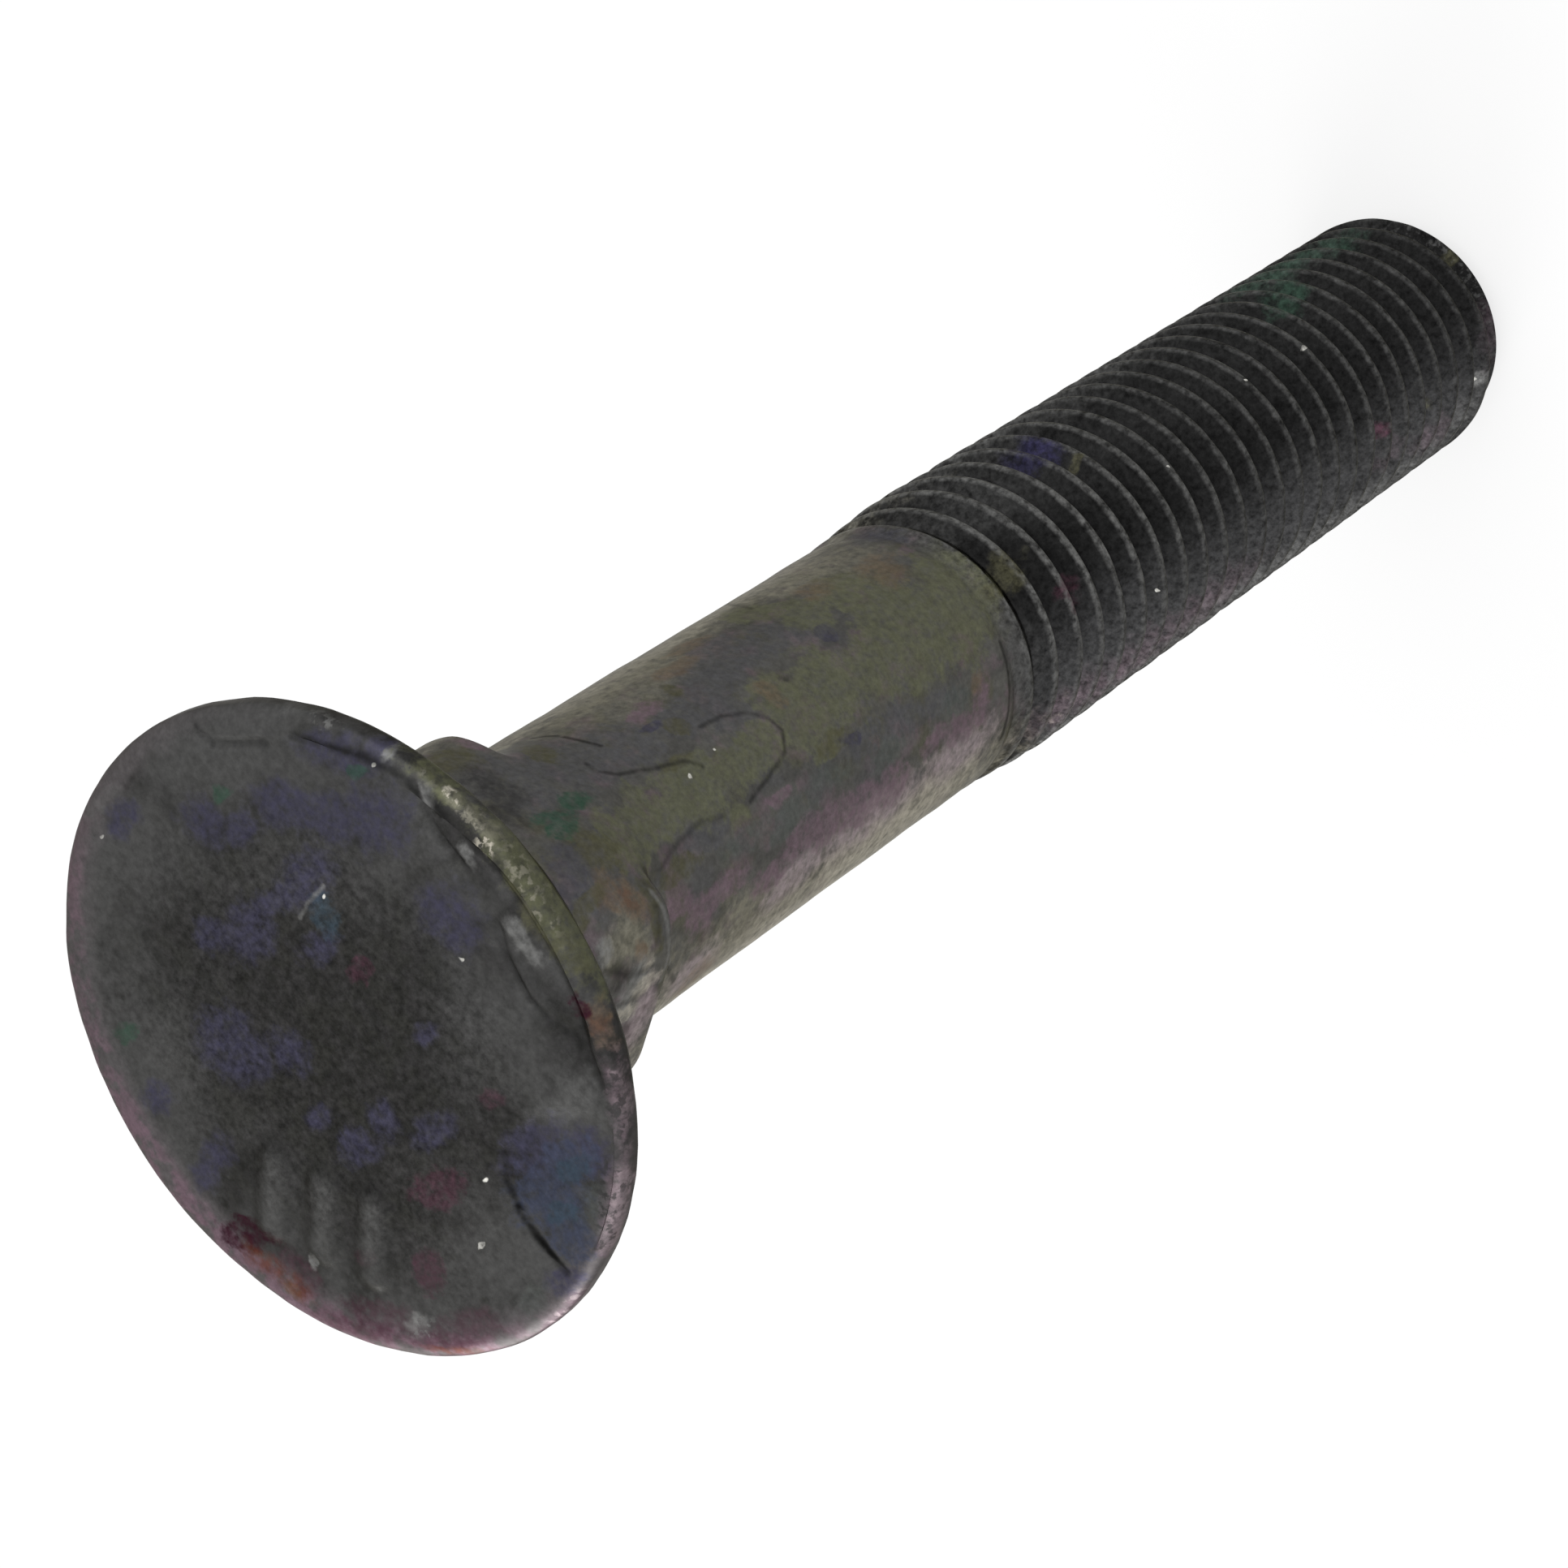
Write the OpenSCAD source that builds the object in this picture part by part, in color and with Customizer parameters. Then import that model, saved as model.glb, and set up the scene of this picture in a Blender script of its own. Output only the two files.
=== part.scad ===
// Plow bolt, M12 x 80. A flat countersunk head sits on a short square neck, and
// a plain shank of the thread's rolling diameter runs into a rolled thread.
//
// The bolt is one forging. It stands on its point: the axis is Z, the flat of
// the point is at Z = 0 and the head's face is on top. The neck's flats face
// +X, -X, +Y and -Y.

/* [Length] */
// Overall length, from the point to the head's face
bolt_l = 80; // [66:1:200]

/* [Head] */
// Largest diameter of the head
head_d = 23.2; // [20:0.2:30]
// Width of the rolled-over edge, between the flat face and the largest diameter
edge_w = 1.2; // [0.4:0.1:2]
// Drop of the rolled-over edge
edge_h = 0.6; // [0.2:0.1:1.2]
// Height of the straight land at the largest diameter
land_h = 0.5; // [0.2:0.1:1]
// Included angle of the countersunk underside, in degrees
sink_angle = 90; // [80:1:100]

/* [Square neck] */
// Width across the neck's flats
neck_w = 12; // [11.8:0.1:14]
// Radius of the neck's upright corners
neck_corner_r = 4.3; // [0.5:0.1:5.5]
// Depth of the neck's end below the head's face
neck_depth = 9.8; // [9:0.1:16]
// Height of the bevel that turns the neck's corners in at its end
neck_bevel = 0.5; // [0.1:0.1:1]
// Radius of the fillet where the neck's end meets the shank
neck_fillet_r = 0.4; // [0.1:0.1:1]

/* [Thread] */
// Outside diameter of the thread
thread_d = 11.7; // [11.3:0.1:12]
// Distance from one crest to the next along the axis
pitch = 1.75; // [1.5:0.05:2]
// Depth of the groove between two crests
groove_depth = 1; // [0.5:0.05:1.1]
// Width of the flat at the bottom of the groove
root_w = 0.2; // [0.1:0.05:0.3]
// Height by which the rolled crests stand out from the plain shank
crest_rise = 0.4; // [0.1:0.05:0.45]
// Length from the point to the last trace of the thread
thread_l = 47; // [20:1:52]
// Length of the run-out, over which the thread fades into the shank
runout_l = 6; // [2:0.5:10]
// Height and width of the bevel at the point
point_bevel = 1.1; // [0.5:0.1:2]

/* [Hidden] */
$fn = 96;

// Steps in a quarter of a rounded edge, and in one turn of the thread
arc_steps = 8;
turn_steps = 36;

// Included angle between the flanks of a metric thread
flank_angle = 60;

// How far the thread reaches up inside the shank, and how far its end stays
// clear of the shank's wall there
seat_l = 1;
seat_gap = 0.02;

// How far the shape that bevels the neck's corners reaches past them
bevel_reach = 1;

head_r = head_d / 2;
face_r = head_r - edge_w;
thread_r = thread_d / 2;
root_r = thread_r - groove_depth;
shank_r = thread_r - crest_rise;
point_r = thread_r - point_bevel;
neck_end_z = bolt_l - neck_depth;
runout_z = thread_l - runout_l;
seat_z = thread_l + seat_l;

// Radius round the neck's corners, and the depth at which the countersunk
// underside has closed in to the shank
neck_reach_r = (neck_w / 2 - neck_corner_r) * sqrt(2) + neck_corner_r;
sink_depth = edge_h + land_h + (head_r - shank_r) / tan(sink_angle / 2);

// The four edges of one turn of thread, as [distance along the axis, 1 on the
// crest or 0 at the root]
flank_w = groove_depth * tan(flank_angle / 2);
crest_w = pitch - root_w - 2 * flank_w;
thread_edges = [
    [0, 1],
    [crest_w, 1],
    [crest_w + flank_w, 0],
    [crest_w + flank_w + root_w, 0]
];
edges = len(thread_edges);

// Rows run along the helix. They start a turn below the point and end a turn
// above the seat, so that every column of points crosses both ends.
rows = edges * (ceil(seat_z / pitch) + 2);

// Height of a point of the helix, before it is held between the two ends
function row_z(column, row) =
    pitch * (floor(row / edges) - 1 + column / turn_steps) + thread_edges[row % edges][0];

// Share of its full depth that the thread has at a height
function fade(z) = min(1, max(0, (thread_l - z) / runout_l));

// Radius of a crest or root at a height: it fades to the shank at the top and
// is cut by the bevel at the point
function thread_radius(on_crest, z) =
    let (end_r = shank_r - seat_gap)
    min(
        end_r + fade(z) * ((on_crest ? thread_r : root_r) - end_r),
        point_r + z
    );

// Lowest and highest row in use in each column
low_rows = [
    for (column = [0 : turn_steps - 1])
        max([for (row = [0 : rows - 1]) if (row_z(column, row) <= 0) row])
];
high_rows = [
    for (column = [0 : turn_steps - 1])
        min([for (row = [0 : rows - 1]) if (row_z(column, row) >= seat_z) row])
];

// Index of a point. After the last column comes the first, one turn further up,
// and rows past an end share that end's point.
function thread_index(column, row) =
    column == turn_steps
        ? thread_index(0, row + edges)
        : column * rows + min(high_rows[column], max(low_rows[column], row));

function triangle(a, b, c) = a == b || b == c || a == c ? [] : [[a, b, c]];

// Screw thread: its outer skin in triangles, closed by a flat at each end
module thread() {
    points = [
        for (column = [0 : turn_steps - 1], row = [0 : rows - 1])
            let (
                turn = 360 * column / turn_steps,
                z = min(seat_z, max(0, row_z(column, row))),
                r = thread_radius(thread_edges[row % edges][1] == 1, z)
            )
            [r * cos(turn), r * sin(turn), z]
    ];
    skin = [
        for (column = [0 : turn_steps - 1], row = [0 : rows - 1 - edges])
            let (
                low = thread_index(column, row),
                low_next = thread_index(column + 1, row),
                high = thread_index(column, row + 1),
                high_next = thread_index(column + 1, row + 1)
            )
            each concat(
                triangle(low, high, high_next),
                triangle(low, high_next, low_next)
            )
    ];
    point_flat = [for (column = [0 : turn_steps - 1]) thread_index(column, 0)];
    seat_flat = [for (column = [turn_steps - 1 : -1 : 0]) thread_index(column, rows)];
    polyhedron(points, concat(skin, [point_flat, seat_flat]), convexity = 10);
}

// Points [radius, height] of a quarter ellipse from the face's rim out and down
// to the largest diameter
function edge_points() = [
    for (i = [0 : arc_steps])
        let (turn = 90 * i / arc_steps)
        [face_r + edge_w * sin(turn), bolt_l - edge_h * (1 - cos(turn))]
];

// Points [radius, height] of the hollow fillet from the neck's end face down to
// the shank
function fillet_points() = [
    for (i = [0 : arc_steps])
        let (turn = 90 * i / arc_steps)
        [
            shank_r + neck_fillet_r * (1 - sin(turn)),
            neck_end_z - neck_fillet_r * (1 - cos(turn))
        ]
];

// Flat face, rolled-over edge, land and countersunk underside
module head() {
    rotate_extrude()
        polygon(concat(
            [[0, bolt_l]],
            edge_points(),
            [
                [head_r, bolt_l - edge_h - land_h],
                [shank_r, bolt_l - sink_depth],
                [0, bolt_l - sink_depth]
            ]
        ));
}

// Outline of the neck: a square with generous round corners
module neck_outline() {
    corner_at = neck_w / 2 - neck_corner_r;
    square([neck_w, 2 * corner_at], center = true);
    square([2 * corner_at, neck_w], center = true);
    for (x = [-1, 1], y = [-1, 1])
        translate([x * corner_at, y * corner_at])
            circle(r = neck_corner_r);
}

// Square neck, from inside the head down to its end, with its corners turned in
module neck() {
    top_z = bolt_l - edge_h - land_h;
    intersection() {
        translate([0, 0, neck_end_z])
            linear_extrude(top_z - neck_end_z)
                neck_outline();
        rotate_extrude()
            polygon([
                [0, neck_end_z],
                [neck_reach_r - neck_bevel, neck_end_z],
                [neck_reach_r + bevel_reach, neck_end_z + neck_bevel + bevel_reach],
                [neck_reach_r + bevel_reach, top_z],
                [0, top_z]
            ]);
    }
    rotate_extrude()
        polygon(concat(
            [[0, neck_end_z]],
            fillet_points(),
            [[0, neck_end_z - neck_fillet_r]]
        ));
}

// Plain shank, from the last trace of the thread into the neck
module shank() {
    translate([0, 0, thread_l])
        cylinder(r = shank_r, h = neck_end_z + neck_bevel - thread_l);
}

module plow_bolt() {
    color("dimgray")
        union() {
            head();
            neck();
            shank();
            thread();
        }
}

plow_bolt();
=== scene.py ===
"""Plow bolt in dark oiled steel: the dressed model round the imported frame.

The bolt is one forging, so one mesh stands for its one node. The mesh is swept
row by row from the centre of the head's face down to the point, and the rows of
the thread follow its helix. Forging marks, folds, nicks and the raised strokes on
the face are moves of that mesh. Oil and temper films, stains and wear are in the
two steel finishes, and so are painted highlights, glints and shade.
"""

import logging
import math
from abc import ABC, abstractmethod
from dataclasses import dataclass, field
from enum import Enum

import bmesh
import bpy
import numpy as np
from mathutils import Matrix, Vector, noise


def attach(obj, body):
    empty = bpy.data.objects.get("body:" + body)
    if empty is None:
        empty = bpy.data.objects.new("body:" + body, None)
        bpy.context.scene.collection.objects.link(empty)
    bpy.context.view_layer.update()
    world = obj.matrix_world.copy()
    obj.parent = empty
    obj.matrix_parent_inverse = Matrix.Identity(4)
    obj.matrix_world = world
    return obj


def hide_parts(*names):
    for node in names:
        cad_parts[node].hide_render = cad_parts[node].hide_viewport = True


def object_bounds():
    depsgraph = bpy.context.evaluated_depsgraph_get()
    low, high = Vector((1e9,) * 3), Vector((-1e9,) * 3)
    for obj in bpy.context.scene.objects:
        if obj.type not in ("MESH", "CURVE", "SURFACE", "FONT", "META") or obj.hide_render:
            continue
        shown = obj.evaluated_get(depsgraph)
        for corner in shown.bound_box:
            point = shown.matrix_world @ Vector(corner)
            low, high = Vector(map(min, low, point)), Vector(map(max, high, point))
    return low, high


LOG = logging.getLogger("plow_bolt")
NODE = "plow_bolt"
MM = 0.001

# Direction of the bolt's best side about its axis. Marks and stains are placed in
# a frame turned to it: +X points out of that side and Z stays the bolt's axis.
HEADING = math.radians(149.0)

# Level of the face, how far its stains reach down the rim, and the radius at which
# the side is unrolled, in millimetres
FACE_LEVEL = 79.86
FACE_REACH = 0.7
SIDE_RADIUS = 5.45

# Sizes of the coarse and the fine noise that shakes the films' edges, and a distance
# at which no blotch or line shows any more
SHAKE_SIZES = (2.6, 0.5)
FAR = 9.0

# Folds that the forging dies left in the face, as x and y in the marked frame
FOLDS = (
    ((3.1, 10.7), (3.3, 9.9), (4.5, 9.3), (5.4, 8.9)),
    ((6.6, 8.5), (7.5, 7.7), (8.7, 6.8), (9.1, 6.2), (9.6, 5.5), (9.7, 4.8), (9.4, 3.6), (9.6, 2.1)),
    # Along the face's edge, where it turns down to the band; the dark line along it is painted shade
    ((10.2, 5.4), (10.1, 4.4), (10.2, 3.0), (10.6, 1.8), (10.7, 0.4), (10.6, -1.4), (10.3, -3.0),
     (9.4, -5.6)),
    ((9.4, 0.1), (9.0, -0.8), (8.8, -2.3), (9.1, -3.4), (9.6, -4.3)),
    ((4.0, -5.9), (3.4, -6.8), (3.15, -7.8), (3.1, -8.8), (3.3, -10.2)),
)

# Creases in the neck, as angles from the best side in degrees and heights
CREASES = (
    ((-27.0, 73.4), (-32.0, 72.6), (-36.0, 71.8), (-37.0, 70.8)),
    ((-40.0, 73.2), (-45.0, 72.2), (-47.0, 70.8)),
)

Socket = bpy.types.NodeSocket
Point = tuple[float, float, float]
Pair = tuple[float, float]
Line = tuple[Pair, ...]
Row = tuple[np.ndarray, np.ndarray]

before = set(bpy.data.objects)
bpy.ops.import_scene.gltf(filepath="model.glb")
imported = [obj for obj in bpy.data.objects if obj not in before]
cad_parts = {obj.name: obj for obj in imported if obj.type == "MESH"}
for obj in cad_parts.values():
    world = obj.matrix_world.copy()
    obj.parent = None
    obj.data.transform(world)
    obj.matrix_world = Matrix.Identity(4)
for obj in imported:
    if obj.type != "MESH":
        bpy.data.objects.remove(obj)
cad_low, cad_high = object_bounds()


class Tint(Enum):
    """Colours of the steel, of the films on it and of painted highlights and shade, as linear red, green,
    blue.
    """

    HEAD_GREY = (0.034, 0.033, 0.033)
    HEAD_DARK = (0.022, 0.022, 0.021)
    HEAD_PALE = (0.075, 0.075, 0.074)
    HEAD_OLIVE = (0.030, 0.030, 0.027)
    VIOLET = (0.048, 0.046, 0.078)
    INDIGO = (0.022, 0.020, 0.052)
    BLUE = (0.048, 0.056, 0.090)
    TEAL = (0.036, 0.058, 0.078)
    WINE = (0.068, 0.028, 0.043)
    WINE_DARK = (0.030, 0.006, 0.014)
    RUST = (0.108, 0.036, 0.022)
    ROSE = (0.150, 0.104, 0.126)
    RIM_GREY = (0.100, 0.092, 0.095)
    GREEN = (0.034, 0.072, 0.050)
    OLIVE = (0.110, 0.113, 0.073)
    BAND = (0.094, 0.097, 0.057)
    OLIVE_DEEP = (0.078, 0.075, 0.044)
    SHANK_GREY = (0.098, 0.096, 0.089)
    SHANK_DARK = (0.072, 0.071, 0.067)
    ASH = (0.080, 0.080, 0.085)
    MOSS = (0.082, 0.092, 0.086)
    MAUVE = (0.150, 0.106, 0.128)
    BLUSH = (0.300, 0.250, 0.262)
    AMBER = (0.140, 0.104, 0.074)
    CREAM = (0.200, 0.190, 0.150)
    BONE = (0.370, 0.345, 0.290)
    CHALK = (0.200, 0.200, 0.196)
    SOOT = (0.012, 0.012, 0.012)
    # Near-black of painted shade in the flap's fold
    FOLD_SHADE = (0.003, 0.003, 0.003)
    # Grey of the grooves on the thread's lit side: painted light
    LIT_GROOVE = (0.036, 0.036, 0.037)
    CREST = (0.068, 0.068, 0.067)
    CREST_PALE = (0.125, 0.125, 0.122)
    GLINT = (0.750, 0.740, 0.690)


class Zone(Enum):
    """The two surfaces of the bolt, with the material index of each."""

    HEAD = 0
    BODY = 1


@dataclass(frozen=True)
class Blotch:
    """A stain, painted highlight or painted glint on the steel, as an ellipsoid that the surface cuts.

    The place is its centre and the size its half widths, in millimetres, in the
    marked frame or in the unrolled one of the side. The turn is in degrees about Z.
    """

    place: Point
    size: Point
    turn: float = 0.0


@dataclass(frozen=True)
class Film:
    """Stains of one tint, how strongly they cover the steel and how soft they end.

    Flecks break them up into small spots.
    """

    tint: Tint
    strength: float
    blotches: tuple[Blotch, ...]
    soft: float = 0.5
    flecks: bool = False


@dataclass(frozen=True)
class Trace:
    """A thin mark along a line, such as a fold, a stain's edge, a scratch, a painted highlight or a painted
    shadow.
    """

    tint: Tint
    strength: float
    width: float
    line: tuple[Point, ...]


@dataclass(frozen=True)
class Patches:
    """Patches that show where noise climbs from a low value to a high one.

    The size is the distance in millimetres over which the noise changes.
    """

    size: float
    low: float
    high: float
    top: float = 1.0
    detail: float = 3.0
    roughness: float = 0.55


def on_face(*places: tuple[float, ...]) -> tuple[Blotch, ...]:
    """Return stains on the head's face, each given as x, y, half widths and a turn.

    Args:
        places: X, y, the two half widths and, where it is turned, the turn in degrees.

    Returns:
        One blotch for each place.
    """
    return tuple(
        Blotch((x, y, FACE_LEVEL), (wide, high, FACE_REACH), *turn) for x, y, wide, high, *turn in places
    )


def side_point(angle: float, height: float) -> Point:
    """Return a point of the unrolled side, at an angle in degrees from the best side."""
    return (SIDE_RADIUS * math.radians(angle), height, 0.0)


def on_side(*places: tuple[float, float, float, float]) -> tuple[Blotch, ...]:
    """Return stains on the side, each given as angle, height and half widths."""
    return tuple(Blotch(side_point(angle, z), (across, along, 1.0)) for angle, z, across, along in places)


def face_line(*places: Pair) -> tuple[Point, ...]:
    """Return the points of a line on the face."""
    return tuple((x, y, FACE_LEVEL) for x, y in places)


def side_line(*places: Pair) -> tuple[Point, ...]:
    """Return the points of a line on the side, given as angles and heights."""
    return tuple(side_point(angle, height) for angle, height in places)


def smooth(value: np.ndarray, low: float, high: float) -> np.ndarray:
    """Return a smooth step from 0 at low to 1 at high."""
    share = np.clip((value - low) / (high - low), 0.0, 1.0)
    return share * share * (3.0 - 2.0 * share)


def segment_distance(at: np.ndarray, start: np.ndarray, end: np.ndarray) -> np.ndarray:
    """Return the distance of each point from a straight segment.

    Args:
        at: Points, one a row.
        start: First end of the segment.
        end: Other end of the segment.

    Returns:
        One distance for each point.
    """
    along = end - start
    share = np.clip((at - start) @ along / (along @ along), 0.0, 1.0)
    return np.linalg.norm(at - start - share[:, None] * along, axis=1)


def grain(at: np.ndarray, size: float, shift: float = 0.0) -> np.ndarray:
    """Return smooth noise from -1 to 1 at each point.

    Args:
        at: Points in millimetres, one a row.
        size: Distance in millimetres over which the noise changes.
        shift: Moves the pattern, so that two calls differ.

    Returns:
        One value for each point.
    """
    return np.array([noise.noise(Vector(p) / size + Vector((shift,) * 3)) for p in at])


@dataclass
class BoltForm:
    """Sizes of the bolt, in millimetres and degrees, and its swept rows."""

    length: float
    head_radius: float
    columns: int = 192
    face_recess: float = 0.14
    face_rows: tuple[tuple[float, float, int], ...] = ((0.03, 0.80, 38), (0.812, 1.0, 24))
    edge_width: float = 1.2
    edge_height: float = 0.6
    edge_turns: tuple[float, float, int] = (8.0, 90.0, 12)
    edge_lobes: tuple[Point, ...] = ((0.35, 0.0, 26.0), (-0.35, 19.0, 9.0), (0.7, -60.0, 38.0))
    edge_waves: Point = (0.12, 7.0, 70.0)
    rim_flats: tuple[Point, ...] = ((0.07, 3.5, 4.0), (0.05, 1.1, 9.0))
    land_height: float = 0.5
    land_shares: tuple[float, ...] = (0.4, 0.8)
    sink_angle: float = 90.0
    cone_rows: tuple[tuple[float, float, int], ...] = ((0.02, 0.05, 2), (0.1, 0.9, 11), (0.95, 0.98, 2))
    neck_width: float = 12.0
    neck_corner: float = 4.3
    neck_depth: float = 9.8
    neck_shares: tuple[float, ...] = (0.0, 0.05, 0.2, 0.6, 1.0)
    short_run: Pair = (-1.1, -0.5)
    long_run: Pair = (-4.2, 2.6)
    long_side: tuple[Pair, Pair] = ((-23.0, -7.0), (48.0, 72.0))
    run_steps: tuple[int, int, int] = (9, 9, 10)
    thread_radius: float = 5.85
    pitch: float = 1.75
    groove_depth: float = 1.0
    crest_rise: float = 0.4
    thread_length: float = 47.0
    runout: float = 6.0
    flank: Line = ((0.09, 0.0), (0.15, 0.03), (0.21, 0.10), (0.70, 0.87), (0.78, 0.97))
    point_bevel: float = 1.1
    point_dish: float = 0.15
    point_rings: tuple[float, ...] = (1.0, 0.96, 0.9, 0.78, 0.6, 0.4, 0.2)
    shank_steps: int = 60

    def __post_init__(self) -> None:
        """Work out the sizes that follow from the others."""
        self.shank_radius = self.thread_radius - self.crest_rise
        self.face_z = self.length - self.face_recess
        self.rim_z = self.length - self.edge_height - self.land_height
        self.neck_end_z = self.length - self.neck_depth
        self.angles = np.arange(self.columns) * 2.0 * math.pi / self.columns

    def turned(self) -> np.ndarray:
        """Return each column's angle from the best side, from -180 to 180 degrees."""
        angle = np.degrees(self.angles - HEADING)
        return (angle + 180.0) % 360.0 - 180.0

    def neck_radius(self) -> np.ndarray:
        """Return the radius of the rounded square at each column."""
        half = self.neck_width / 2.0
        centre = half - self.neck_corner
        fold = np.abs((self.angles + math.pi / 4.0) % (math.pi / 2.0) - math.pi / 4.0)
        flat = half / np.cos(fold)
        reach = np.cos(fold) + np.sin(fold)
        across = np.cos(fold) - np.sin(fold)
        inner = np.maximum(self.neck_corner**2 - (centre * across) ** 2, 0.0)
        corner = centre * reach + np.sqrt(inner)
        return np.where(flat * np.sin(fold) <= centre, flat, corner)

    def face_edge(self) -> np.ndarray:
        """Return the radius at which the face turns over, ragged on the best side."""
        turned = self.turned()
        edge = np.full(self.columns, self.head_radius - self.edge_width)
        for reach, middle, spread in self.edge_lobes:
            edge += reach * np.exp(-(((turned - middle) / spread) ** 2))
        reach, waves, spread = self.edge_waves
        edge += reach * np.sin(np.radians(turned * waves)) * np.exp(-((turned / spread) ** 2))
        return edge

    def rim_radius(self) -> np.ndarray:
        """Return the head's largest radius at each column, with its small flats."""
        ring = np.column_stack([np.cos(self.angles), np.sin(self.angles), 0.0 * self.angles])
        radius = np.full(self.columns, self.head_radius)
        for depth, size, shift in self.rim_flats:
            radius -= depth * np.clip(grain(ring * self.head_radius, size, shift), 0.0, 1.0)
        return radius

    def head_rows(self) -> list[Row]:
        """Return the rows of the face, the rolled edge, the rim and the cone."""
        edge = self.face_edge()
        rim = self.rim_radius()
        neck = self.neck_radius()
        level = np.ones(self.columns)
        shares = np.concatenate([np.linspace(*span) for span in self.face_rows])
        rows = [(edge * share, level * self.face_z) for share in shares]
        for turn in np.radians(np.linspace(*self.edge_turns)):
            drop = (self.edge_height - self.face_recess) * (1.0 - math.cos(turn))
            rows.append((edge + (rim - edge) * math.sin(turn), level * (self.face_z - drop)))
        for share in self.land_shares:
            rows.append((rim, level * (self.length - self.edge_height - share * self.land_height)))
        slope = math.tan(math.radians(self.sink_angle / 2.0))
        for share in np.concatenate([np.linspace(*span) for span in self.cone_rows]):
            radius = rim + (neck - rim) * share
            rows.append((radius, self.rim_z - (rim - radius) / slope))
        return rows

    def neck_drop(self, height: float) -> np.ndarray:
        """Return how far the neck has run into the shank at each column.

        The run is long and soft on the best side, and short elsewhere.

        Args:
            height: Height of the row.

        Returns:
            From 0, all neck, to 1, all shank, for each column.
        """
        turned = self.turned()
        start, end = self.long_side
        ease = smooth(turned, *start) * (1.0 - smooth(turned, *end))
        level = np.full(self.columns, height - self.neck_end_z)
        short, long = (1.0 - smooth(level, *run) for run in (self.short_run, self.long_run))
        return short + (long - short) * ease

    def neck_rows(self) -> list[Row]:
        """Return the rows of the square neck and of its run into the shank."""
        neck = self.neck_radius()
        slope = math.tan(math.radians(self.sink_angle / 2.0))
        top = self.rim_z - (self.rim_radius() - neck) / slope
        last, high = (self.neck_end_z + run for run in self.long_run)
        low, middle = (self.neck_end_z + run for run in self.short_run)
        rows = [(neck, top + (high - top) * share) for share in self.neck_shares]
        levels = ((high, middle), (middle, low), (low, last))
        spans = [(*level, steps) for level, steps in zip(levels, self.run_steps)]
        for height in np.concatenate([np.linspace(*span)[1:] for span in spans]):
            radius = neck + (self.shank_radius - neck) * self.neck_drop(height)
            rows.append((radius, np.full(self.columns, height)))
        return rows

    def shank_rows(self) -> list[Row]:
        """Return the straight rows of the plain shank, down to the thread."""
        level = np.ones(self.columns)
        top = self.neck_end_z + self.long_run[0]
        heights = np.linspace(top, self.thread_length, self.shank_steps + 1)[1:]
        return [(level * self.shank_radius, level * height) for height in heights]

    def thread_profile(self) -> list[Pair]:
        """Return one pitch of the thread as (distance along the axis, depth) pairs."""
        below = [(-z, depth) for z, depth in reversed(self.flank)]
        return [*below, *self.flank, (self.pitch / 2.0, 1.0)]

    def thread_rows(self) -> list[Row]:
        """Return the helical rows of the thread, from the point up, held at its ends."""
        profile = self.thread_profile()
        column = np.arange(self.columns) / self.columns
        rows = []
        for turn in range(-1, math.ceil(self.thread_length / self.pitch) + 2):
            for offset, depth in profile:
                z = np.clip(self.pitch * (turn + column) + offset, 0.0, self.thread_length)
                climb = np.clip((self.thread_length - z) / self.runout, 0.0, 1.0)
                full = climb * climb * (2.0 - climb)
                radius = self.thread_radius - self.groove_depth * depth
                radius = self.shank_radius + full * (radius - self.shank_radius)
                bevel = self.thread_radius - self.point_bevel + z
                rows.append((np.minimum(radius, bevel), z))
        return rows

    def point_rows(self) -> list[Row]:
        """Return the rings of the slightly dished end of the point."""
        level = np.ones(self.columns)
        radius = self.thread_radius - self.point_bevel
        return [
            (level * radius * share, level * self.point_dish * (1.0 - share)) for share in self.point_rings
        ]


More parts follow.
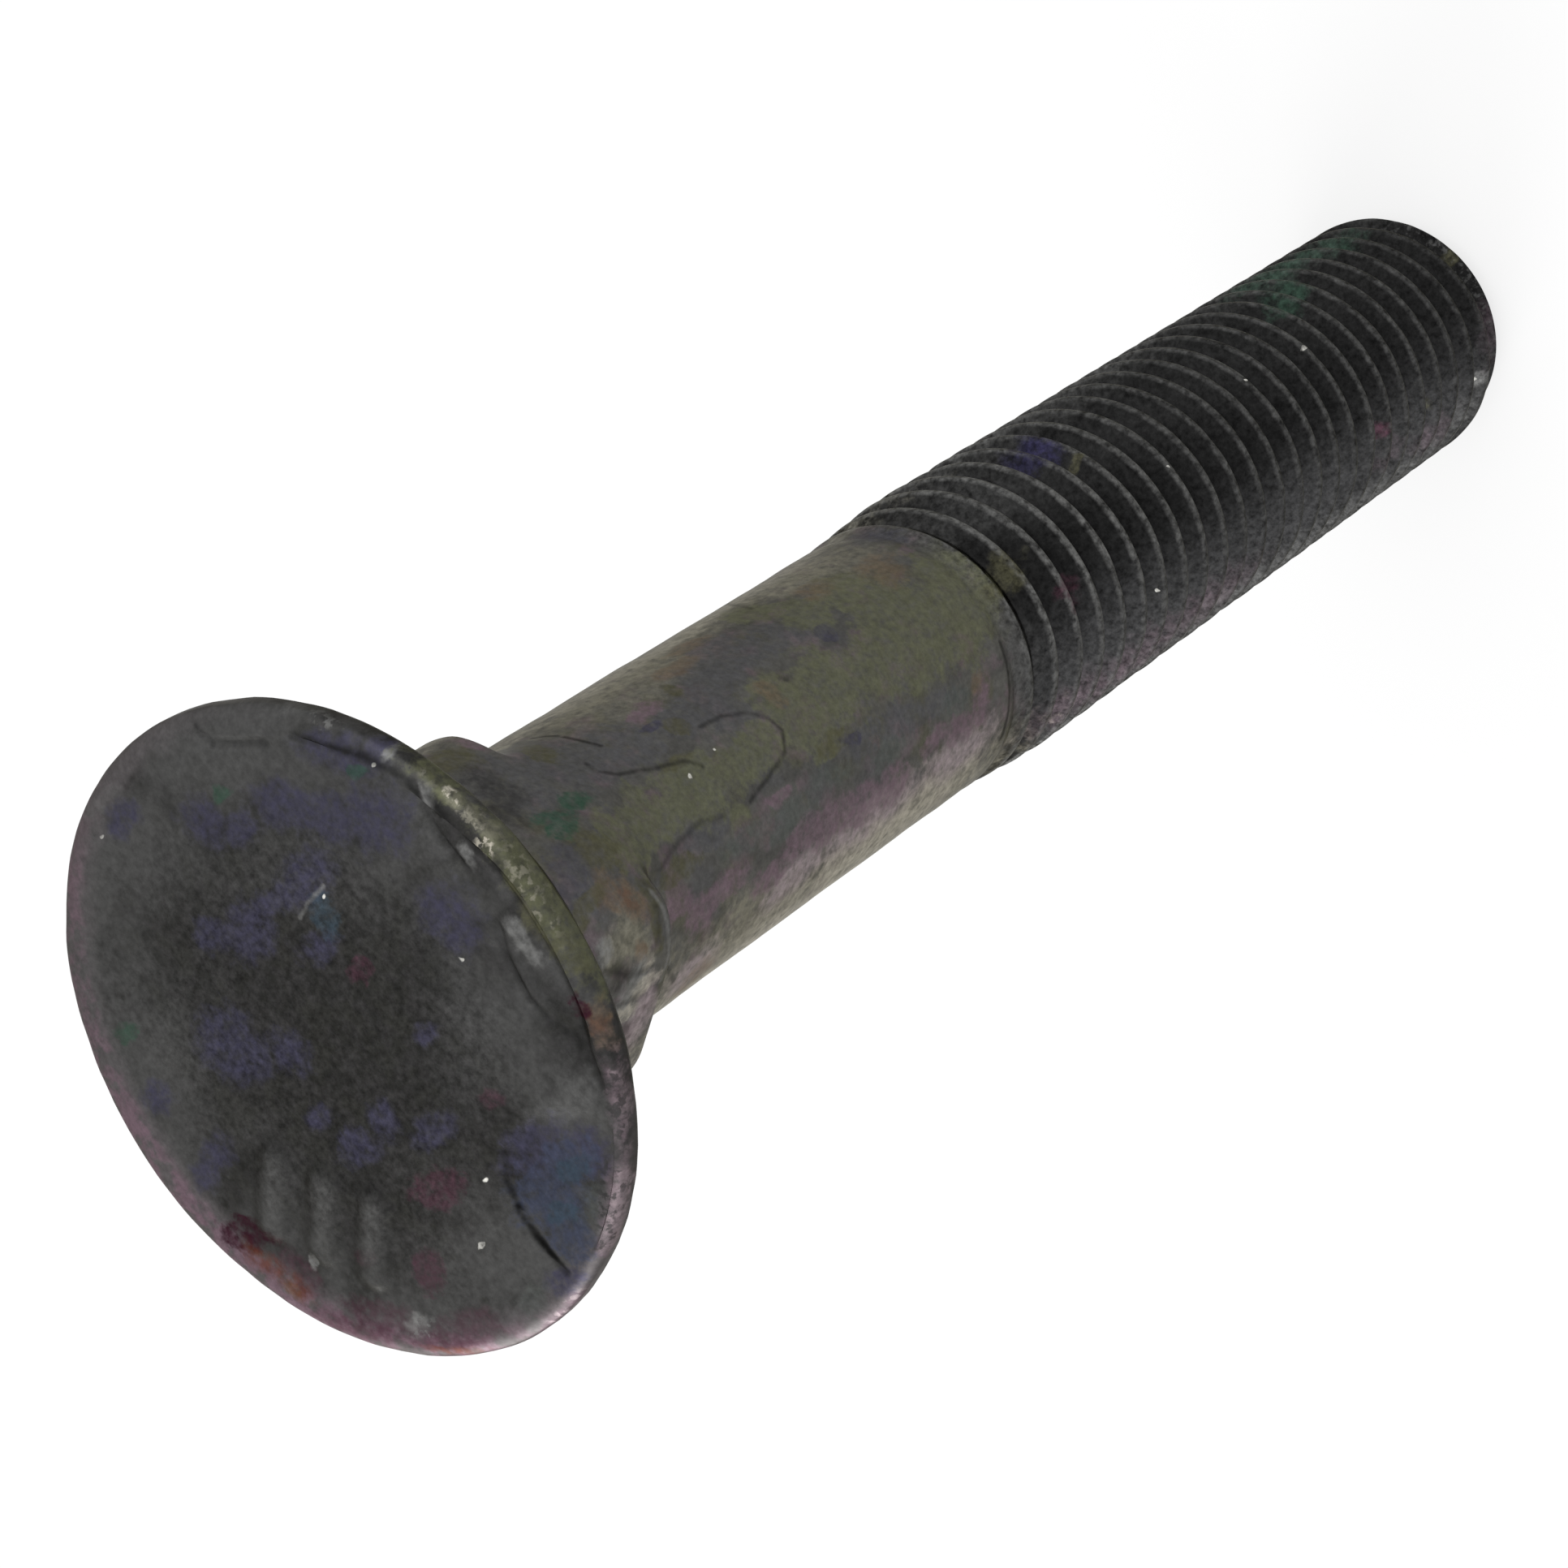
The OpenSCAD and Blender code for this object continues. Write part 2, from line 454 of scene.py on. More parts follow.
@dataclass
class Relief:
    """Forging marks, folds, nicks and raised strokes, as moves in millimetres."""

    form: BoltForm
    stroke_centre: Pair = (-5.0, -4.7)
    stroke_length: float = 3.7
    stroke_width: float = 1.2
    stroke_gap: float = 2.1
    stroke_rise: float = 0.15
    stroke_sides: Pair = (0.28, 0.72)
    fold_depth: float = 0.13
    fold_width: float = 0.18
    shelf_depth: float = 0.11
    shelf_edge: Pair = (8.9, 9.6)
    shelf_middle: float = 0.6
    shelf_ends: Pair = (4.2, 5.4)
    flap_depth: float = 0.09
    flap_centre: Pair = (6.0, -7.8)
    flap_size: Pair = (3.0, 2.4)
    flap_edge: Pair = (0.9, 1.02)
    crease_depth: float = 0.07
    crease_width: float = 0.26
    crease_top: float = 75.0
    nicks: int = 46
    nick_start: float = 2.0
    nick_size: Pair = (0.25, 0.6)
    nick_cut: Pair = (0.025, 0.08)
    seed: int = 7
    skin_drop: float = 0.02
    face_gap: float = 0.02
    start_soft: float = 1.0
    middle_share: float = 0.5
    coarse: Pair = (0.028, 3.2)
    fine: Pair = (0.012, 0.9)
    wear: Pair = (0.022, 1.7)

    def stroke_ends(self) -> list[Line]:
        """Return the ends of the middle lines of the three raised strokes."""
        centre = Vector(self.stroke_centre)
        outward = centre.normalized()
        ends = []
        for step in (-1, 0, 1):
            middle = centre + outward.orthogonal() * self.stroke_gap * step
            half = outward * (self.stroke_length - self.stroke_width) / 2.0
            ends.append((tuple(middle - half), tuple(middle + half)))
        return ends

    def strokes(self, at: np.ndarray) -> np.ndarray:
        """Return the height of the raised strokes, at points of the face.

        Args:
            at: Points of the face as x and y, one a row.

        Returns:
            One height for each point.
        """
        height = np.zeros(len(at))
        for start, end in self.stroke_ends():
            away = segment_distance(at, np.array(start), np.array(end)) / self.stroke_width
            height = np.maximum(height, 1.0 - smooth(away, *self.stroke_sides))
        return self.stroke_rise * height

    def cut(self, at: np.ndarray, lines: tuple[Line, ...], depth: float, width: float) -> np.ndarray:
        """Return how deep lines are cut at each point.

        Args:
            at: Points in the plane of the lines, one a row.
            lines: The corners of each line.
            depth: Depth in the middle of a line.
            width: Distance from the middle at which a line ends.

        Returns:
            One depth for each point.
        """
        deepest = np.zeros(len(at))
        for line in lines:
            corners = np.array(line)
            for start, end in zip(corners[:-1], corners[1:]):
                away = segment_distance(at, start, end)
                deepest = np.maximum(deepest, depth * np.exp(-((away / width) ** 2)))
        return deepest

    def face_height(self, at: np.ndarray) -> np.ndarray:
        """Return how far the face lies above or below its level, at each point.

        Args:
            at: Points of the face as x and y, one a row.

        Returns:
            One height for each point.
        """
        height = self.strokes(at) - self.cut(at, FOLDS, self.fold_depth, self.fold_width)
        beside = np.abs(at[:, 1] - self.shelf_middle)
        shelf = smooth(at[:, 0], *self.shelf_edge) * (1.0 - smooth(beside, *self.shelf_ends))
        flap = np.linalg.norm((at - self.flap_centre) / self.flap_size, axis=1)
        return height - self.shelf_depth * shelf - self.flap_depth * (1.0 - smooth(flap, *self.flap_edge))

    def nick_depth(self, at: np.ndarray) -> np.ndarray:
        """Return how deep the small knocks on the thread's crests are.

        Args:
            at: Points in millimetres, one a row.

        Returns:
            One depth for each point.
        """
        draw = np.random.default_rng(self.seed)
        depth = np.zeros(len(at))
        radius = self.form.thread_radius
        for _ in range(self.nicks):
            angle = draw.uniform(0.0, 2.0 * math.pi)
            height = draw.uniform(self.nick_start, self.form.thread_length - self.form.runout)
            size = draw.uniform(*self.nick_size)
            centre = np.array([radius * math.cos(angle), radius * math.sin(angle), height])
            away = np.linalg.norm(at - centre, axis=1)
            depth = np.maximum(depth, draw.uniform(*self.nick_cut) * np.exp(-((away / size) ** 2)))
        return depth

    def moved(self, at: np.ndarray, normals: np.ndarray) -> np.ndarray:
        """Return the points of the skin after all of its small moves.

        Args:
            at: Points in millimetres in the marked frame, one a row.
            normals: Outward normals at the points.

        Returns:
            The moved points.
        """
        radius = np.hypot(at[:, 0], at[:, 1])
        start = self.form.thread_length
        on_thread = 1.0 - smooth(at[:, 2], start - self.start_soft, start + self.start_soft)
        on_face = (at[:, 2] > self.form.face_z - self.face_gap) & (radius < self.form.head_radius)
        rough = self.coarse[0] * grain(at, self.coarse[1]) + self.fine[0] * grain(at, self.fine[1], 5.0)
        rough = rough * (1.0 - on_thread) - self.skin_drop
        radial = np.column_stack([at[:, 0], at[:, 1], 0.0 * radius]) / np.maximum(radius, 0.01)[:, None]
        side = radius > self.form.thread_radius * self.middle_share
        rolled = side & (at[:, 2] < start + self.start_soft)
        out = at + np.where(rolled[:, None], radial, normals) * rough[:, None]
        out[on_face, 2] += self.face_height(at[on_face, :2])
        arc = np.arctan2(at[:, 1], at[:, 0]) * SIDE_RADIUS
        unrolled = np.column_stack([arc, at[:, 2]])
        creases = tuple(tuple(side_point(*place)[:2] for place in line) for line in CREASES)
        crease = self.cut(unrolled, creases, self.crease_depth, self.crease_width)
        worn = self.wear[0] * grain(at, self.wear[1], 11.0) + self.nick_depth(at) + self.skin_drop
        crest = smooth(radius, self.form.shank_radius, self.form.thread_radius)
        sunk = crease * (at[:, 2] < self.crease_top) + worn * crest * on_thread * side
        return out - radial * sunk[:, None]


@dataclass
class BoltMesh:
    """The bolt's skin as one closed mesh that stands for its node."""

    form: BoltForm
    relief: Relief
    sharp_angle: float = 48.0
    merge_gap: float = 0.006
    quads: list[tuple[int, int, int, int]] = field(default_factory=list)
    zones: list[int] = field(default_factory=list)

    def ring_points(self, rows: list[Row]) -> np.ndarray:
        """Return the points of swept rows in millimetres, row by row.

        Args:
            rows: Radius and height at each column, for each row.

        Returns:
            One point for each row and column.
        """
        radius = np.array([row[0] for row in rows])
        height = np.array([row[1] for row in rows])
        across = radius * np.cos(self.form.angles)
        along = radius * np.sin(self.form.angles)
        return np.stack([across, along, height], axis=-1).reshape(-1, 3)

    def sweep(self, first: int, count: int, step: int, zone: Zone) -> None:
        """Add the quads between rows.

        Args:
            first: Index of the first row's first point.
            count: Number of rows.
            step: Rows by which the skin has climbed after one turn.
            zone: Surface that the quads belong to.
        """
        columns = self.form.columns
        for row in range(count - 1 - step):
            for column in range(columns):
                low = first + row * columns + column
                if column < columns - 1:
                    side = low + 1
                else:
                    side = first + (row + step) * columns
                self.quads.append((low, low + columns, side + columns, side))
                self.zones.append(zone.value)

    def build(self) -> bpy.types.Object:
        """Return the finished mesh object, in metres in the part's frame."""
        form = self.form
        upper = [*form.head_rows(), *form.neck_rows(), *form.shank_rows()]
        head_count = len(form.head_rows())
        helix = form.thread_rows()
        point = form.point_rows()
        points = [self.ring_points(part) for part in (upper, helix, point)]
        starts = np.cumsum([0, len(points[0]), len(points[1])])
        self.sweep(0, head_count, 0, Zone.HEAD)
        rest = head_count - 1
        self.sweep(rest * form.columns, len(upper) - rest, 0, Zone.BODY)
        self.sweep(int(starts[1]), len(helix), len(form.thread_profile()), Zone.BODY)
        self.sweep(int(starts[2]), len(point), 0, Zone.BODY)
        skin = np.concatenate(points)
        centres = np.array([[0.0, 0.0, form.face_z], [0.0, 0.0, form.point_dish]])
        last = len(skin) - form.columns
        triangles = []
        for column in range(form.columns):
            side = (column + 1) % form.columns
            triangles.append((len(skin), column, side))
            triangles.append((len(skin) + 1, last + side, last + column))
        mesh = bpy.data.meshes.new("bolt_skin")
        mesh.from_pydata((np.concatenate([skin, centres]) * MM).tolist(), [], self.quads + triangles)
        zones = [*self.zones, *([Zone.HEAD.value, Zone.BODY.value] * form.columns)]
        mesh.polygons.foreach_set("material_index", zones)
        self.weld(mesh)
        self.shape(mesh)
        mesh.shade_smooth()
        mesh.set_sharp_from_angle(angle=math.radians(self.sharp_angle))
        body = bpy.data.objects.new("bolt_body", mesh)
        bpy.context.scene.collection.objects.link(body)
        return body

    def weld(self, mesh: bpy.types.Mesh) -> None:
        """Join the points that the rows share where they are held at an end.

        Args:
            mesh: The swept skin.
        """
        work = bmesh.new()
        work.from_mesh(mesh)
        bmesh.ops.remove_doubles(work, verts=work.verts, dist=self.merge_gap * MM)
        bmesh.ops.dissolve_degenerate(work, edges=work.edges, dist=self.merge_gap * MM)
        bmesh.ops.recalc_face_normals(work, faces=work.faces)
        open_edges = sum(1 for edge in work.edges if not edge.is_manifold)
        LOG.info("skin has %d faces and %d open edges", len(work.faces), open_edges)
        work.to_mesh(mesh)
        work.free()

    def shape(self, mesh: bpy.types.Mesh) -> None:
        """Move the welded points by the relief.

        Args:
            mesh: The welded skin.
        """
        count = len(mesh.vertices)
        places = np.empty(count * 3)
        normals = np.empty(count * 3)
        mesh.vertices.foreach_get("co", places)
        mesh.vertices.foreach_get("normal", normals)
        turn = np.array(Matrix.Rotation(HEADING, 3, "Z"))
        at = places.reshape(-1, 3) / MM @ turn
        moved = self.relief.moved(at, normals.reshape(-1, 3) @ turn)
        mesh.vertices.foreach_set("co", (moved @ turn.T * MM).ravel())
        mesh.update()


class Graph:
    """Adds and links the nodes of one material."""

    def __init__(self, name: str) -> None:
        """Make an empty material of that name.

        Args:
            name: Name of the material.
        """
        self.material = bpy.data.materials.new(name)
        self.material.use_nodes = True
        self.tree = self.material.node_tree
        self.tree.nodes.clear()
        self.turns: dict[tuple[str, float], Socket] = {}

    def node(self, kind: str, inputs: dict[int | str, object], **settings: object) -> bpy.types.Node:
        """Add a node.

        Args:
            kind: The node's type, without its ShaderNode prefix.
            inputs: A socket to link or a value to set, for each input.
            settings: Properties of the node.

        Returns:
            The node.
        """
        made = self.tree.nodes.new(f"ShaderNode{kind}")
        for name, value in settings.items():
            setattr(made, name, value)
        for key, value in inputs.items():
            if isinstance(value, bpy.types.NodeSocket):
                self.tree.links.new(value, made.inputs[key])
            else:
                made.inputs[key].default_value = value
        return made

    def math(self, operation: str, *values: Socket | float) -> Socket:
        """Return the result of a Math node."""
        return self.node("Math", dict(enumerate(values)), operation=operation).outputs[0]

    def vector(self, operation: str, *values: Socket | Point) -> bpy.types.Node:
        """Return a Vector Math node."""
        return self.node("VectorMath", dict(enumerate(values)), operation=operation)

    def scale(self, value: Socket | Point, level: Socket) -> Socket:
        """Return a colour or a vector times a level."""
        return self.node("VectorMath", {0: value, "Scale": level}, operation="SCALE").outputs[0]

    def radius(self, at: Socket) -> Socket:
        """Return the distance from the bolt's axis."""
        flat = self.vector("MULTIPLY", at, (1.0, 1.0, 0.0)).outputs[0]
        return self.vector("LENGTH", flat).outputs["Value"]

    def height(self, at: Socket) -> Socket:
        """Return the height above the bolt's point."""
        return self.node("SeparateXYZ", {0: at}).outputs["Z"]

    def fade(self, value: Socket, low: Socket | float, high: Socket | float, top: float = 1.0) -> Socket:
        """Return a smooth step of a value, from 0 at low to top at high."""
        inputs = {"Value": value, "From Min": low, "From Max": high, "To Max": top}
        return self.node("MapRange", inputs, interpolation_type="SMOOTHSTEP").outputs["Result"]

    def ramp(self, value: Socket, ends: Pair, levels: Pair = (0.0, 1.0)) -> Socket:
        """Return a value's even climb between two levels, held beyond its ends."""
        spans = {"From Min": ends[0], "From Max": ends[1], "To Min": levels[0], "To Max": levels[1]}
        return self.node("MapRange", {"Value": value, **spans}).outputs["Result"]

    def swing(self, noise: Socket, reach: float) -> Socket:
        """Return noise from 0 to 1 stretched to run from minus its reach to its reach."""
        return self.math("MULTIPLY_ADD", noise, 2.0 * reach, -reach)

    def grain(self, at: Socket, size: float, detail: float = 3.0, roughness: float = 0.55) -> Socket:
        """Return noise from 0 to 1 that changes over a size in millimetres."""
        inputs = {"Vector": at, "Scale": 1.0 / size, "Detail": detail, "Roughness": roughness}
        return self.node("TexNoise", inputs).outputs["Fac"]

    def rough_grain(self, at: Socket, size: float) -> Socket:
        """Return noise from 0 to 1 with more of its fine detail."""
        return self.grain(at, size, 4.0, 0.65)

    def patches(self, at: Socket, kind: Patches) -> Socket:
        """Return a mask of patches of one kind, from 0 to its top."""
        mottle = self.grain(at, kind.size, kind.detail, kind.roughness)
        return self.fade(mottle, kind.low, kind.high, kind.top)

    def mix(self, share: Socket | float, low: Socket | Tint, high: Socket | Tint) -> Socket:
        """Return a blend of two colours.

        Args:
            share: How much of the second colour there is, from 0 to 1.
            low: First colour.
            high: Second colour.

        Returns:
            The blend.
        """
        colours = [(*c.value, 1.0) if isinstance(c, Tint) else c for c in (low, high)]
        inputs = {"Factor": share, 6: colours[0], 7: colours[1]}
        return self.node("Mix", inputs, data_type="RGBA").outputs[2]

    def marked_frame(self) -> Socket:
        """Return the place on the bolt in millimetres, in the marked frame."""
        place = self.node("TexCoord", {}).outputs["Object"]
        inputs = {"Vector": place, "Rotation": (0.0, 0.0, -HEADING), "Scale": (1.0 / MM,) * 3}
        return self.node("Mapping", inputs).outputs["Vector"]

    def unrolled(self, at: Socket) -> Socket:
        """Return places on the side as arc from the best side, height and nothing.

        Args:
            at: Places in the marked frame.

        Returns:
            The unrolled places, in millimetres.
        """
        parts = self.node("SeparateXYZ", {0: at}).outputs
        angle = self.math("ARCTAN2", parts["Y"], parts["X"])
        inputs = {"X": self.math("MULTIPLY", angle, SIDE_RADIUS), "Y": parts["Z"]}
        return self.node("CombineXYZ", inputs).outputs[0]

    def ragged(self, place: Socket, at: Socket, wide: float, fine: float) -> Socket:
        """Return places shaken by coarse and fine noise, so that edges go ragged.

        Args:
            place: Places to shake, in millimetres.
            at: Places in the marked frame, where the noise is taken.
            wide: Reach of the coarse shake.
            fine: Reach of the fine shake.

        Returns:
            The shaken places.
        """
        for size, reach in zip(SHAKE_SIZES, (wide, fine)):
            inputs = {"Vector": at, "Scale": 1.0 / size, "Detail": 2.0}
            shake = self.node("TexNoise", inputs).outputs["Color"]
            centred = self.vector("SUBTRACT", shake, (0.5, 0.5, 0.5)).outputs[0]
            scaled = self.vector("MULTIPLY", centred, (2.0 * reach,) * 3).outputs[0]
            place = self.vector("ADD", place, scaled).outputs[0]
        return place

    def turned(self, place: Socket, degrees: float) -> Socket:
        """Return places turned back about Z, made once for each angle.

        Args:
            place: Places to turn.
            degrees: Angle to turn them back by.

        Returns:
            The turned places.
        """
        key = (place.node.name, degrees)
        if key not in self.turns:
            inputs = {"Vector": place, "Rotation": (0.0, 0.0, -math.radians(degrees))}
            self.turns[key] = self.node("Mapping", inputs).outputs[0]
        return self.turns[key]

    def inside(self, place: Socket, film: Film, shift: Socket) -> Socket:
        """Return a mask of where the blotches of a film lie.

        Args:
            place: Places in the frame that the blotches are given in.
            film: The film.
            shift: Noise that moves the blotches' edges in and out.

        Returns:
            The mask, from 0 to 1.
        """
        nearest: Socket | float = FAR
        for blotch in film.blotches:
            own = self.turned(place, blotch.turn) if blotch.turn else place
            centre = Matrix.Rotation(-math.radians(blotch.turn), 3, "Z") @ Vector(blotch.place)
            offset = self.vector("SUBTRACT", own, tuple(centre)).outputs[0]
            local = self.vector("DIVIDE", offset, blotch.size).outputs[0]
            nearest = self.math("MINIMUM", self.vector("LENGTH", local).outputs["Value"], nearest)
        return self.fade(self.math("ADD", nearest, shift), 1.0 + film.soft / 2.0, 1.0 - film.soft / 2.0)

    def along(self, at: Socket, line: tuple[Point, ...]) -> Socket:
        """Return the distance in millimetres to a line of straight stretches.

        Args:
            at: Places in the frame that the line is given in.
            line: Corners of the line.

        Returns:
            The distance.
        """
        nearest: Socket | float = FAR
        for start, end in zip(line[:-1], line[1:]):
            run = Vector(end) - Vector(start)
            offset = self.vector("SUBTRACT", at, start).outputs[0]
            share = self.vector("DOT_PRODUCT", offset, tuple(run / run.length_squared)).outputs["Value"]
            held = self.math("MINIMUM", self.math("MAXIMUM", share, 0.0), 1.0)
            away = self.vector("DISTANCE", offset, self.scale(tuple(run), held)).outputs["Value"]
            nearest = self.math("MINIMUM", away, nearest)
        return nearest


@dataclass(frozen=True)
class Finish(ABC):
    """What the two steel finishes share: films, traces, oil and fine relief."""

    name: str
    films: tuple[Film, ...]
    traces: tuple[Trace, ...]
    shake: Pair = (0.55, 0.16)
    fray_size: float = 0.6
    fray: float = 0.9
    cover: Patches = Patches(0.35, 0.1, 0.7, detail=4.0)
    flecks: Patches = Patches(0.3, 0.5, 0.62)
    trace_shake: Pair = (0.14, 0.05)
    trace_cover: Patches = Patches(0.8, 0.2, 0.52)
    speckle_span: Pair = (0.25, 0.75)
    speckle: Pair = (0.52, 1.48)
    gloss_size: float = 1.4
    gloss_span: Pair = (0.3, 0.7)
    roughness: Pair = (0.42, 0.56)
    grain_size: float = 0.27
    grain_depth: float = 0.004
    coat: float = 0.08
    coat_roughness: float = 0.2
    edge_tint: Point = (0.42, 0.41, 0.38)

    def place(self, graph: Graph, at: Socket) -> Socket:
        """Return the places that the films and traces are given in."""
        return at

    @abstractmethod
    def base(self, graph: Graph, at: Socket, place: Socket) -> Socket:
        """Return the colour of the steel under the films."""

    @abstractmethod
    def calm(self, graph: Graph, at: Socket) -> Socket:
        """Return how much of the fine grain is smoothed away, from 0 to 1."""

    def relief(self, graph: Graph, at: Socket) -> Socket:
        """Return the height of the fine relief."""
        return graph.rough_grain(at, self.grain_size)

    def filmed(self, graph: Graph, at: Socket, place: Socket, colour: Socket) -> Socket:
        """Return the colour with the films and the traces over it.

        Args:
            graph: Material to add to.
            at: Places in the marked frame.
            place: Places in the frame that the films are given in.
            colour: Colour of the steel.

        Returns:
            The new colour.
        """
        ragged = graph.ragged(place, at, *self.shake)
        patchy = graph.patches(at, self.cover)
        flecked = graph.patches(at, self.flecks)
        shift = graph.swing(graph.rough_grain(at, self.fray_size), self.fray)
        for film in self.films:
            mask = graph.math("MULTIPLY", graph.inside(ragged, film, shift), film.strength)
            cover = flecked if film.flecks else patchy
            colour = graph.mix(graph.math("MULTIPLY", mask, cover), colour, film.tint)
        near = graph.ragged(place, at, *self.trace_shake)
        broken = graph.patches(at, self.trace_cover)
        for trace in self.traces:
            share = graph.fade(graph.along(near, trace.line), trace.width, 0.0, trace.strength)
            colour = graph.mix(graph.math("MULTIPLY", share, broken), colour, trace.tint)
        return colour

    def speckled(self, graph: Graph, at: Socket, colour: Socket) -> Socket:
        """Return the colour with a fine lighter and darker grain over it.

        Args:
            graph: Material to add to.
            at: Places in the marked frame.
            colour: Colour under it.

        Returns:
            The new colour.
        """
        fine = graph.grain(at, self.grain_size, 2.0, 0.7)
        grainy = graph.scale(colour, graph.ramp(fine, self.speckle_span, self.speckle))
        return graph.mix(self.calm(graph, at), grainy, colour)

    def material(self) -> bpy.types.Material:
        """Return the finished material."""
        graph = Graph(self.name)
        at = graph.marked_frame()
        place = self.place(graph, at)
        colour = self.filmed(graph, at, place, self.base(graph, at, place))
        relief = {"Height": self.relief(graph, at), "Distance": self.grain_depth * MM}
        inputs = {
            "Base Color": self.speckled(graph, at, colour),
            "Roughness": graph.ramp(graph.grain(at, self.gloss_size), self.gloss_span, self.roughness),
            "Normal": graph.node("Bump", relief).outputs["Normal"],
            "Metallic": 1.0,
            "Specular Tint": (*self.edge_tint, 1.0),
            "Coat Weight": self.coat,
            "Coat Roughness": self.coat_roughness,
        }
        shader = graph.node("BsdfPrincipled", inputs)
        graph.node("OutputMaterial", {"Surface": shader.outputs["BSDF"]})
        return graph.material


@dataclass(frozen=True)
class HeadFinish(Finish):
    """Grey forged steel of the head, mottled violet, with a rosy rim.

    Radii and heights are pairs, from where a look starts to where it is full. The
    rosy side points to where the rim is rubbed most.
    """

    forged: Patches = Patches(0.5, 0.34, 0.62, detail=5.0, roughness=0.65)
    stains: Patches = Patches(1.1, 0.5, 0.62, 0.6)
    pale: Patches = Patches(4.0, 0.35, 0.65, 0.75)
    pale_radii: Pair = (3.0, 9.6)
    calm_radii: Pair = (5.5, 9.0)
    calm_share: float = 0.55
    swirl_scale: float = 1.9
    swirl: float = 1.6
    swirl_height: float = 4.0
    swirl_radii: Pair = (8.5, 4.0)
    rosy_side: Point = (-0.92, -0.18, 0.0)
    rosy_lean: float = 0.09
    rim_size: float = 1.0
    rim_fray: float = 0.8
    rubbed_radii: Pair = (10.5, 11.3)
    rubbed_reach: Pair = (-9.0, -2.0)
    rubbed_share: float = 0.85
    rosy: Patches = Patches(0.8, 0.38, 0.56, detail=4.0)
    rosy_radii: Pair = (11.05, 11.6)
    rosy_reach: Pair = (-1.0, 6.0)
    rosy_heights: Pair = (78.6, 79.3)

    def calm(self, graph: Graph, at: Socket) -> Socket:
        """Return more towards the rim, where the steel was rubbed smooth."""
        return graph.fade(graph.radius(at), *self.calm_radii, self.calm_share)

    def relief(self, graph: Graph, at: Socket) -> Socket:
        """Return the fine relief with the coarser, swirling one of the face's middle.

        Args:
            graph: Material to add to.
            at: Places in the marked frame.

        Returns:
            The height.
        """
        inputs = {"Vector": at, "Scale": self.swirl_scale, "Detail": 3.0, "Roughness": 0.6}
        swirled = graph.node("TexNoise", {**inputs, "Distortion": self.swirl}).outputs["Fac"]
        middle = graph.fade(graph.radius(at), *self.swirl_radii, self.swirl_height)
        return graph.math("MULTIPLY_ADD", swirled, middle, super().relief(graph, at))

    def rim(self, graph: Graph, at: Socket, radius: Socket, colour: Socket) -> Socket:
        """Return the colour with the rim rubbed grey, and rosy patches along its edge.

        Args:
            graph: Material to add to.
            at: Places in the marked frame.
            radius: Distance of each place from the bolt's axis.
            colour: Colour of the face.

        Returns:
            The new colour.
        """
        side = graph.vector("DOT_PRODUCT", at, self.rosy_side).outputs["Value"]
        reach = graph.math("MULTIPLY_ADD", side, self.rosy_lean, radius)
        blown = graph.math("MULTIPLY_ADD", graph.grain(at, self.rim_size), self.rim_fray, reach)
        facing = graph.fade(side, *self.rubbed_reach, self.rubbed_share)
        turned_over = graph.math("MULTIPLY", graph.fade(blown, *self.rubbed_radii), facing)
        rubbed = graph.mix(turned_over, colour, Tint.RIM_GREY)
        upper = graph.fade(graph.height(at), *self.rosy_heights)
        patchy = graph.math("MULTIPLY", graph.patches(at, self.rosy), upper)
        rosy = graph.math("MULTIPLY", graph.fade(side, *self.rosy_reach), patchy)
        edge = graph.math("MULTIPLY", graph.fade(blown, *self.rosy_radii), rosy)
        return graph.mix(edge, rubbed, Tint.ROSE)

    def base(self, graph: Graph, at: Socket, place: Socket) -> Socket:
        """Return the grey of the face, paler towards the rim and rosy at its edge.

        Args:
            graph: Material to add to.
            at: Places in the marked frame.
            place: Places in the frame of the films, here the same ones; not used.

        Returns:
            The colour.
        """
        radius = graph.radius(at)
        mottle = graph.mix(graph.patches(at, self.forged), Tint.HEAD_DARK, Tint.HEAD_GREY)
        stained = graph.mix(graph.patches(at, self.stains), mottle, Tint.HEAD_OLIVE)
        outer = graph.fade(radius, *self.pale_radii)
        pale = graph.math("MULTIPLY", graph.patches(at, self.pale), outer)
        return self.rim(graph, at, radius, graph.mix(pale, stained, Tint.HEAD_PALE))


